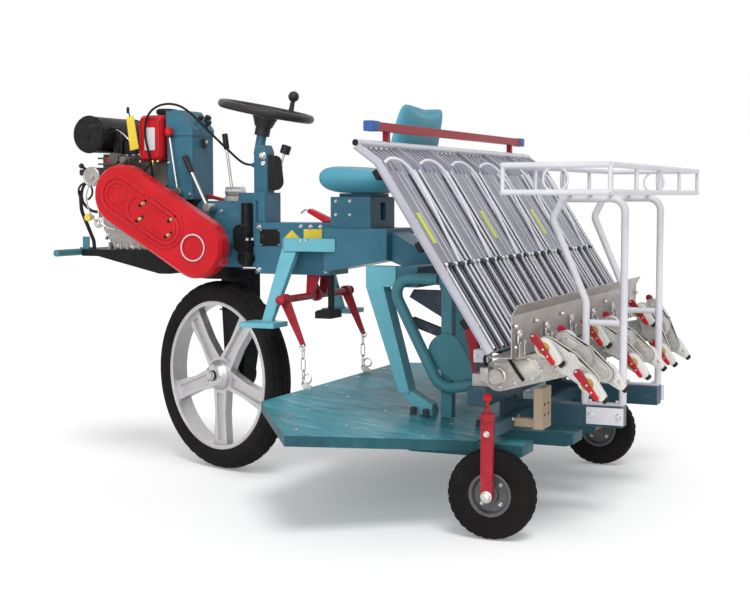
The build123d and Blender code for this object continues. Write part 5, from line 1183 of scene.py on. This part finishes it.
# finish, radius, points
ENGINE_PIPES = (
    ("black", 5.0, ((1618, 110, 1010), (1650, 118, 1002), (1676, 122, 975), (1680, 120, 930),
                    (1650, 110, 896), (1606, 100, 890))),
    ("zinc", 2.5, ((1560, 90, 1180), (1530, 104, 1168), (1500, 112, 1150), (1470, 112, 1120))),
    ("zinc", 2.5, ((1604, 178, 1000), (1630, 168, 940), (1622, 150, 880), (1600, 124, 840))),
    ("black", 3.5, ((1404, 100, 1064), (1416, 108, 1046), (1440, 112, 1030), (1500, 118, 1020),
                    (1560, 130, 1016))),
    ("zinc", 3.0, ((1540, 124, 830), (1580, 128, 842), (1604, 130, 870), (1608, 126, 920))),
    ("black", 4.0, ((1596, -60, 1000), (1640, -70, 1010), (1660, -60, 1050), (1650, -40, 1098))),
)


class OBJECT_OT_transplanter_tank(bpy.types.Operator):
    """Add the small parts of the fuel tank, the hood and the belt guard"""

    bl_idname = "object.transplanter_tank"
    bl_label = "Tank and hood"

    def execute(self, context):
        tank = Piece("tank_fittings")
        for y in (104.5, -126.5):
            tank.bead([at(x, y, z) for x, z in rounded_box(1372, 1448, 1077, 1213, 14)], 2.6, "red")
        tank.turned(at(1410, 0, 1232), UP, [(28, -4), (30, 2), (30, 14), (26, 18), (10, 19)], "black", 32)
        for place in circle(at(1410, 0, 1240), FORWARD, LEFT, 30, 12):
            tank.block(place, (5, 5, 13), "black", 1.5)
        plate = rounded_box(1388, 1430, 1103, 1181, 5)
        tank.rings([[at(x, y, z) for x, z in plate] for y in (105.0, 106.6)], "white", smooth=False)
        tank.turned(at(1404, 96, 1067), DOWN, [(9, -2), (9, 6), (6, 8), (6, 14)], "brass", 16)
        tank.bolts([(1374, 112, 1062), (1446, 112, 1062)], UP, 9, "brass")
        tank.bolts([(1374, -132, 1062), (1446, -132, 1062)], UP, 9)
        tank.turned(at(1366, 60, 1222), UP, [(7, -2), (7, 5), (4, 8)], "rubber", 12)
        tank.done("red_paint")
        hood = Piece("hood_fittings")
        hood.limits((1322, 1349), (64, 106), (1236, 1243), "plastic", 2.0)
        hood.turned(at(1321, 122, 1160), (0.155, 0, 0.988), [(9, -10), (13, -6), (14, 6), (12, 16), (5, 20)],
                    "red", 20)
        for x, y, z, r in ((1264, -30, 1208, 12), (1244, 0, 1190, 10), (1262, 22, 1206, 9)):
            hood.turned(at(x, y, z), (-0.6, 0, 0.8),
                        [(r * 0.6, -8), (r * 0.6, 3), (r, 6), (r, 16), (r * 0.6, 20)], "plastic", 18)
        hood.limits((1231, 1241), (18, 38), (1110, 1142), "plastic", 3.0)
        hood.turned(at(1232, 28, 1132), BACK, [(6, -1), (6, 3), (3, 4)], "zinc", 14)
        for y, axis in ((104, LEFT), (-47, RIGHT)):
            hood.bolts([(x, y, z) for x in (1254, 1334) for z in (952, 1060)], axis, 7)
        hood.block(at(1217, 0, 941), (84, 16, 12), "deep_red", 3.0,
                   Matrix.Rotation(math.radians(-12), 3, "Y"))
        hood.done("black_plastic")
        guard = Piece("guard_fittings")
        slope = math.atan2(GUARD_FRONT[1] - GUARD_REAR[1], GUARD_FRONT[0] - GUARD_REAR[0])
        ahead, fall = 14 * math.cos(slope), 14 * math.sin(slope)
        for dx in (-55, 55):
            for dz in (-26, 26):
                x, z = 1289 + dx - 0.25 * dz, 870 + dz + 0.47 * dx
                slot = hull(x - ahead, z + fall, 5.6, x + ahead, z - fall, 5.6)
                # The black plate in each slot is painted shade in the slot's hollow.
                guard.side_slab(slot, 254, 262, "plastic", 1.0)
                guard.bolt(at(x, 262, z), LEFT, 10, "brass")
        guard.ring(at(GUARD_REAR[0], 267.5, GUARD_REAR[1]), FORWARD, UP, 43, 2.3, "white", 60)
        guard.ring(at(GUARD_FRONT[0], 263.5, GUARD_FRONT[1]), FORWARD, UP, 30, 4.0, "red")
        for outline in (hull(*GUARD_FRONT, 64, *GUARD_MIDDLE, 64), hull(1350, 900, 47, *GUARD_MIDDLE, 47)):
            guard.bead([at(x, 264.5, z) for x, z in outline], 4.5, "red")
        for x, z in GUARD_CLIPS:
            guard.limits((x - 9, x + 9), (202, 212), (z - 9, z + 9), "red", 2.0)
        guard.done("red_paint")
        return {"FINISHED"}


# x, z of the clips along the guard's back
GUARD_CLIPS = ((1500, 1010), (1400, 1032), (1264, 958), (1120, 866), (1060, 730), (1180, 690), (1340, 772),
               (1500, 872))


def rounded_box(low_u, high_u, low_v, high_v, corner, steps=5):
    """Outline of a box with rounded corners, as pairs in mm."""
    points = []
    for u, v, start in ((high_u - corner, high_v - corner, 0), (low_u + corner, high_v - corner, 90),
                        (low_u + corner, low_v + corner, 180), (high_u - corner, low_v + corner, 270)):
        for k in range(steps + 1):
            turn = math.radians(start + 90 * k / steps)
            points.append((u + corner * math.cos(turn), v + corner * math.sin(turn)))
    return points


class OBJECT_OT_transplanter_controls(bpy.types.Operator):
    """Add the key switch, the bolts of the drive box, the beam's blank plates and the pedals' treads"""

    bl_idname = "object.transplanter_controls"
    bl_label = "Controls and beam"

    def execute(self, context):
        column = Piece("column_fittings")
        column.turned(at(1012, 29, 1082), LEFT, [(13, 0), (13, 2), (10, 4), (10, 8), (8, 10)], "bright", 24)
        column.block(at(1012, 42, 1082), (3, 8, 14), "bright", 1.0)
        column.turned(at(1010, 29, 1056), LEFT, [(9, 0), (9, 3), (7, 5)], "bright", 20)
        column.side_bolts([(x, 29, z) for x in (1004, 1040) for z in (900, 940)], 8)
        column.bolts([(x, y, 930) for x in (1000, 1080) for y in (-48, 48)], UP, 10)
        column.turned(at(1013, 0, 1222), (-0.208, 0, 0.978), [(27, -4), (27, 4), (22, 9), (8, 11)],
                      "plastic", 28)
        column.done("black_plastic")
        box = Piece("drive_box_fittings")
        for place in circle(at(1126, -110, 800), FORWARD, UP, 47, 6):
            box.bolt(place, RIGHT, 10)
        box.side_bolts([(x, 88, z) for x, z in DRIVE_BOX_BOLTS], 9)
        box.bolts([(x, y, 899) for x in (1060, 1150, 1235) for y in (-60, 60)], UP, 9)
        box.done("bright_steel")
        beam = Piece("beam_plates")
        for finish, corners in BEAM_PLATES:
            beam.rings([[at(x, y, z) for x, z in corners] for y in (BEAM_FACE_Y - 0.2, BEAM_FACE_Y + 1.2)],
                       finish, smooth=False)
        for x, z in ((998, 784), (998, 832), (931, 784), (931, 832)):
            beam.turned(at(x, BEAM_FACE_Y + 1, z), LEFT, [(2.2, 0), (2.2, 0.8), (1, 1.4)], "zinc", 10)
        beam.side_bolts([(x, BEAM_FACE_Y, 846) for x in (776, 812, 848)], 10)
        beam.side_bolts([(x, BEAM_FACE_Y, z) for x, z in ((756, 700), (756, 742), (1006, 700), (1006, 842))],
                        12)
        beam.done("frame_paint")
        lever = Piece("clutch_pedal_cover")
        outline = ((787, 860.5), (813, 860.0), (872, 892), (864, 904), (797, 875))
        lever.side_slab(outline, -52, -20, "red", 1.5)
        lever.tube([at(868, -36, 896), at(884, -36, 900), at(902, -36, 888)], 3.0, "zinc")
        lever.done("red_paint")
        tread = Piece("brake_pedal_tread")
        for k in range(7):
            tread.limits((716, 768), (43 + 12 * k, 50 + 12 * k), (569, 574), "rubber", 1.5)
        tread.done("rubber_pad")
        return {"FINISHED"}


# x, z of the drive box's side bolts
DRIVE_BOX_BOLTS = ((1040, 730), (1040, 880), (1240, 880), (1240, 730), (1140, 712), (1140, 895))
# finish, corners as x, z
BEAM_PLATES = (
    ("black", ((1002, 779), (1002, 836), (927, 836), (927, 780))),
    ("yellow", ((912, 806), (882, 834), (852, 806), (882, 780))),
    ("yellow", ((838, 804), (838, 837), (771, 838), (771, 805))),
)


class OBJECT_OT_transplanter_frame(bpy.types.Operator):
    """Add the bolts and rings of the deck, the footrests, the seat box and the lift"""

    bl_idname = "object.transplanter_frame"
    bl_label = "Frame fittings"

    def execute(self, context):
        frame_bolts = Piece("frame_bolts")
        for side in (-1, 1):
            for x, y, size in FOOT_BOLTS:
                frame_bolts.bolt(at(x, y * side, deck_top(x) + 2), UP, size, "slate", rise=1.0)
            for x, y, z, radius, wire in ((743, 239, 364, 14, 2.6), (760, 243, 462, 9, 2.2)):
                frame_bolts.ring(at(x, y * side, z), FORWARD, UP, radius, wire, "zinc", 40)
            frame_bolts.turned(at(825, 268 * side, 615), (0, side, 0), [(16, -6), (16, 2), (10, 5)],
                               "deep_red", 20)
            frame_bolts.bolts([(x, y * side, 807) for x in (716, 905) for y in (300, 336)], UP, 9)
        frame_bolts.side_bolts([(x, 100, z) for x in (656, 706) for z in (886, 930)], 8)
        frame_bolts.done("dark_steel")
        studs = Piece("deck_screws")
        for side in (-1, 1):
            for x, y in DECK_SCREWS:
                studs.turned(at(x, y * side, deck_top(x) - 0.5), UP, [(7, 0), (7, 1.2), (4, 2.6)], "zinc", 12)
        studs.done("bright_steel")
        return {"FINISHED"}


# x, y, width over flats
FOOT_BOLTS = ((336, 342, 20), (296, 342, 20), (336, 262, 16), (296, 262, 16), (128, 342, 16), (128, 262, 16))
DECK_SCREWS = ((730, 120), (730, 360), (600, 520), (500, 800), (420, 640), (420, 360), (200, 600), (200, 380),
               (100, 480), (100, 200), (600, 240))


# the deck's tail, its length and its rise to the front
DECK_X, DECK_Z = 60.0, 262.0
DECK_LONG, DECK_RISE = 695.0, 68.0


def deck_top(x):
    """Height of the sloping deck at x, in mm."""
    return DECK_Z + (x - DECK_X) / DECK_LONG * DECK_RISE


# lower end and slope of the tray's ribs, and how far up the slope its lower half and its mats and sheets of painted
# shade reach
TRAY_X, TRAY_Z = -61.0, 544.0
SLOPE = math.atan2(500.0, 319.0)
TRAY_STEP, TRAY_TOP = 262.0, 560.0
RIBS_A_ROW = 7
RIB_STEP = ROW_PITCH / RIBS_A_ROW


def on_tray(along, lift, y):
    """Point at a distance up the tray's slope and above its ribs, in mm."""
    return at(TRAY_X + along * math.cos(SLOPE) - lift * math.sin(SLOPE), y,
              TRAY_Z + along * math.sin(SLOPE) + lift * math.cos(SLOPE))


def tray_strip(piece, y0, y1, along, lift, thick, finish):
    """Flat strip on the slope between two distances."""
    low, high = sorted((y0, y1))
    piece.rings([[on_tray(s, lift, low), on_tray(s, lift, high), on_tray(s, lift + thick, high - 0.6),
                  on_tray(s, lift + thick, low + 0.6)] for s in along], finish, smooth=False)


def tray_rod(piece, low, high, lift, y, radius):
    """Straight rod up the slope between two distances."""
    piece.tube([on_tray(low, lift, y), on_tray(high, lift, y)], radius, "rod", 8, curved=False)


class OBJECT_OT_transplanter_tray(bpy.types.Operator):
    """Line the seedling tray with mats and dark sheets of painted shade between its ribs, and add its hold-down rods,
    hoops, clips and blank labels
    """

    bl_idname = "object.transplanter_tray"
    bl_label = "Seedling tray"

    def execute(self, context):
        mats, rods, hoops, clips = (Piece("tray_" + name, "tray")
                                    for name in ("mats", "rods", "hoops", "clips"))
        for row in range(ROW_COUNT):
            left = (ROW_COUNT / 2 - row) * ROW_PITCH
            for gap in range(RIBS_A_ROW):
                y0, y1 = left - gap * RIB_STEP - 3, left - (gap + 1) * RIB_STEP + 3
                # Dark sheet under each gap between ribs: painted shade of the open tray between the rods.
                tray_strip(mats, y0, y1, (4, TRAY_TOP), -19, 3.2, "tray_dark")
                if gap >= 4 or gap % 2 == 0:
                    tray_rod(rods, 6, (TRAY_TOP if gap >= 4 else TRAY_STEP) + 6, -1, (y0 + y1) / 2, 3.4)
                clips.block(on_tray(TRAY_STEP, 0, (y0 + y1) / 2), (12, 10, 12),
                            "slate" if gap % 2 else "zinc", 2.0)
            for near, far in ((10, 2 * RIB_STEP - 8), (2 * RIB_STEP + 8, 3 * RIB_STEP - 9),
                              (3 * RIB_STEP + 7, 4 * RIB_STEP - 12)):
                tray_strip(mats, left - near, left - far, (TRAY_STEP + 6, TRAY_TOP), -9, 7, "tray_sheet")
            for count in (2, 3):
                tray_rod(rods, TRAY_STEP + 6, TRAY_TOP, -6.2, left - count * RIB_STEP, 3.6)
            hoops.tube([on_tray(s, lift, left - share * ROW_PITCH) for s, lift, share in HOOP], 4.5, "rod",
                       10)
            clips.tube([on_tray(TRAY_STEP + 2, -6, y) for y in (left - 8, left - ROW_PITCH + 8)], 2.5,
                       "slate", 8, curved=False)
            if row % 2 == 0:
                tray_strip(clips, left - 28, left - 54, (330, 426), -1.9, 0.8, "lime")
            for s in (80, 240, 400, 540):
                clips.turned(on_tray(s, 0, left), (-math.sin(SLOPE), 0, math.cos(SLOPE)),
                             [(4, -1), (4, 1.2), (2, 2.4)], "zinc", 10)
        mats.done("tray_sheet")
        rods.done("bright_steel")
        hoops.done("tray_sheet")
        clips.done("bright_steel")
        caps = Piece("tray_bar_caps", "tray")
        caps.turned(at(332, 0, 1091), LEFT, [(9.7, -774), (9.7, 774)], "rod")
        for side in (-1, 1):
            caps.limits((317.5, 346.5), sorted((640 * side, 692 * side)), (1125.5, 1154.5), "blue", 3.0)
        caps.done("dark_steel")
        return {"FINISHED"}


# distance up the slope, lift, share of a row to the right, along the hoop over each row
HOOP = ((584, 0, 0.03), (588, 14, 0.08), (580, 26, 0.16), (558, 32, 0.25), (520, 32, 0.33), (460, 26, 0.40),
        (380, 16, 0.45), (310, 8, 0.48), (262, 2, 0.50))


class OBJECT_OT_transplanter_planter(bpy.types.Operator):
    """Add the planting cases' covers and lines, the depth stop, and the rail's bolts and springs"""

    bl_idname = "object.transplanter_planter"
    bl_label = "Planting cases and rail"

    def execute(self, context):
        cases = Piece("case_covers")
        pipes = Piece("case_pipes")
        for _, index, _ in UNITS:
            centre = index * UNIT_PITCH
            for side in (-1, 1):
                face, axis = centre + 34 * side, (0, side, 0)
                cases.side_slab(hull(-2, 450, 37, -96, 472, 30), face - side, face + 5 * side, "cast", 2.0)
                cases.side_slab(hull(-112, 476, 22, -180, 492, 18), face - side, face + 3 * side, "cast", 1.5)
                cases.turned(at(-2, face + 5 * side, 450), axis, [(24, -1), (24, 4), (18, 7), (8, 8)],
                             "zinc", 24)
                cases.bolts([(x, face + 4 * side, z) for x, z in CASE_BOLTS], axis, 8)
                cases.bolts([(x, face + 3 * side, z) for x, z in ((-128, 470), (-150, 505), (-168, 476))],
                            axis, 7)
            cases.limits((-92, -52), (centre - 28, centre + 28), (500, 514), "cast", 4.0)
            cases.limits((14, 40), (centre + 40, centre + 78), (436, 476), "cast", 6.0)
            cases.turned(at(-70, centre, 505), UP, [(12, 0), (12, 8), (9, 12)], "rubber", 18)
            for y in (-64, 64):
                cases.turned(at(-2, centre + y - 5, 450), LEFT, [(21, 0), (23, 2), (23, 10), (21, 12)],
                             "cast", 24)
            pipes.tube([at(x, centre + y, z) for x, y, z in CASE_PIPE], 4.5, "black")
        cases.done("cast_metal")
        pipes.done("black_steel")
        box = Piece("depth_stop")
        box.limits((52, 98), (440, 480), (474, 512), "white", 4.0)
        box.bolts([(62, 480, 493), (88, 480, 493)], LEFT, 8)
        box.limits((56, 94), (446, 474), (416, 474), "slate", 3.0)
        box.done("arm_cast")
        rail = Piece("rail_fittings")
        for k in range(-3, 4):
            y = max(-700.0, min(700.0, k * ROW_PITCH))
            rail.bolt(at(-97, y, 604), BACK, 10)
            rail.bolt(at(-97, y, 548), BACK, 8)
        for k in range(ROW_COUNT):
            y = (k - 2.5) * ROW_PITCH
            for turn in range(3):
                rail.ring(at(-100 - 2.4 * turn, y + 34, 584), LEFT, UP, 9, 1.4, "bright", 24, 6)
            rail.block(at(-99, y + 34, 566), (5, 14, 26), "zinc", 1.5)
            for side in (-22, 22):
                rail.block(at(-99, y + side, 540), (4, 8, 40), "zinc", 1.0)
                rail.bolt(at(-100, y + side, 556), BACK, 5, washer=False)
        rail.done("bright_steel")
        return {"FINISHED"}


# x, z of the cover bolts
CASE_BOLTS = ((30, 432), (30, 468), (4, 482), (-40, 494), (-90, 500), (-118, 480), (-100, 446), (-50, 432),
              (-8, 418))
# x, distance to the left of the case's middle, z
CASE_PIPE = ((30, 42, 470), (34, 50, 500), (10, 54, 520), (-30, 52, 506), (-58, 48, 466), (-76, 42, 440))


class OBJECT_OT_transplanter_rack(bpy.types.Operator):
    """Add the basket's hoops and the foot plates and bolts of the rack and the bracket"""

    bl_idname = "object.transplanter_rack"
    bl_label = "Rack and basket"

    def execute(self, context):
        rack = Piece("basket_hoops")
        for side in (-1, 1):
            rack.ring(at(-176, 606 * side, 993), FORWARD, UP, 34, 3.4, "white", sides=10)
        for x in (-28, -324):
            rack.ring(at(x, 0, 993), LEFT, UP, 34, 3.4, "white", sides=10)
        rack.done("white_paint")
        feet = Piece("rack_feet")
        for side in (-1, 1):
            inner, outer = RACK_PLATE_Y * side, (RACK_PLATE_Y + 5) * side
            feet.limits((-290, -180), sorted((inner, outer)), (286, 336), "white", 2.0)
            feet.bolts([(x, outer, 312) for x in (-276, -194)], (0, side, 0), 12)
            feet.bolts([(x, 240 * side, 345) for x in (-262, -182)], UP, 10, "white")
        feet.done("white_paint")
        bracket = Piece("bracket_bolts")
        for y in (432, 468):
            for z in (335, 365):
                bracket.limits((-108.5, -106.5), (y - 9, y + 9), (z - 4, z + 4), "black", 0.5)
        bracket.bolts([(-20, y, 316) for y in (424, 476)], UP, 9)
        bracket.done("dark_steel")
        return {"FINISHED"}


RACK_PLATE_Y = 276.0


class VIEW3D_PT_transplanter(bpy.types.Panel):
    """Sidebar list of the machine's pieces"""

    bl_label = "Transplanter"
    bl_space_type = "VIEW_3D"
    bl_region_type = "UI"
    bl_category = "Transplanter"

    def draw(self, context):
        for operator in OPERATORS:
            self.layout.operator(operator.bl_idname)
        for group in (context.scene.transplanter_tones, context.scene.transplanter_studio):
            for name in group.bl_rna.properties.keys():
                if name not in ("rna_type", "name"):
                    self.layout.prop(group, name)


OPERATORS = [found for name, found in list(globals().items()) if name.startswith("OBJECT_OT_")]
CLASSES = [TransplanterTones, TransplanterStudio] + OPERATORS + [VIEW3D_PT_transplanter]


def register():
    for found in CLASSES:
        bpy.utils.register_class(found)
    bpy.types.Scene.transplanter_tones = bpy.props.PointerProperty(type=TransplanterTones)
    bpy.types.Scene.transplanter_studio = bpy.props.PointerProperty(type=TransplanterStudio)


def unregister():
    del bpy.types.Scene.transplanter_tones
    del bpy.types.Scene.transplanter_studio
    for found in reversed(CLASSES):
        bpy.utils.unregister_class(found)


def main():
    register()
    for operator in OPERATORS:
        group, name = operator.bl_idname.split(".")
        getattr(getattr(bpy.ops, group), name)()
    sizes = {"cad": CAD_BOX, "visual": [list(corner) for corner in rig.bounds()]}
    with open("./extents.json", "w") as out:
        json.dump(sizes, out)


if __name__ == "__main__":
    main()
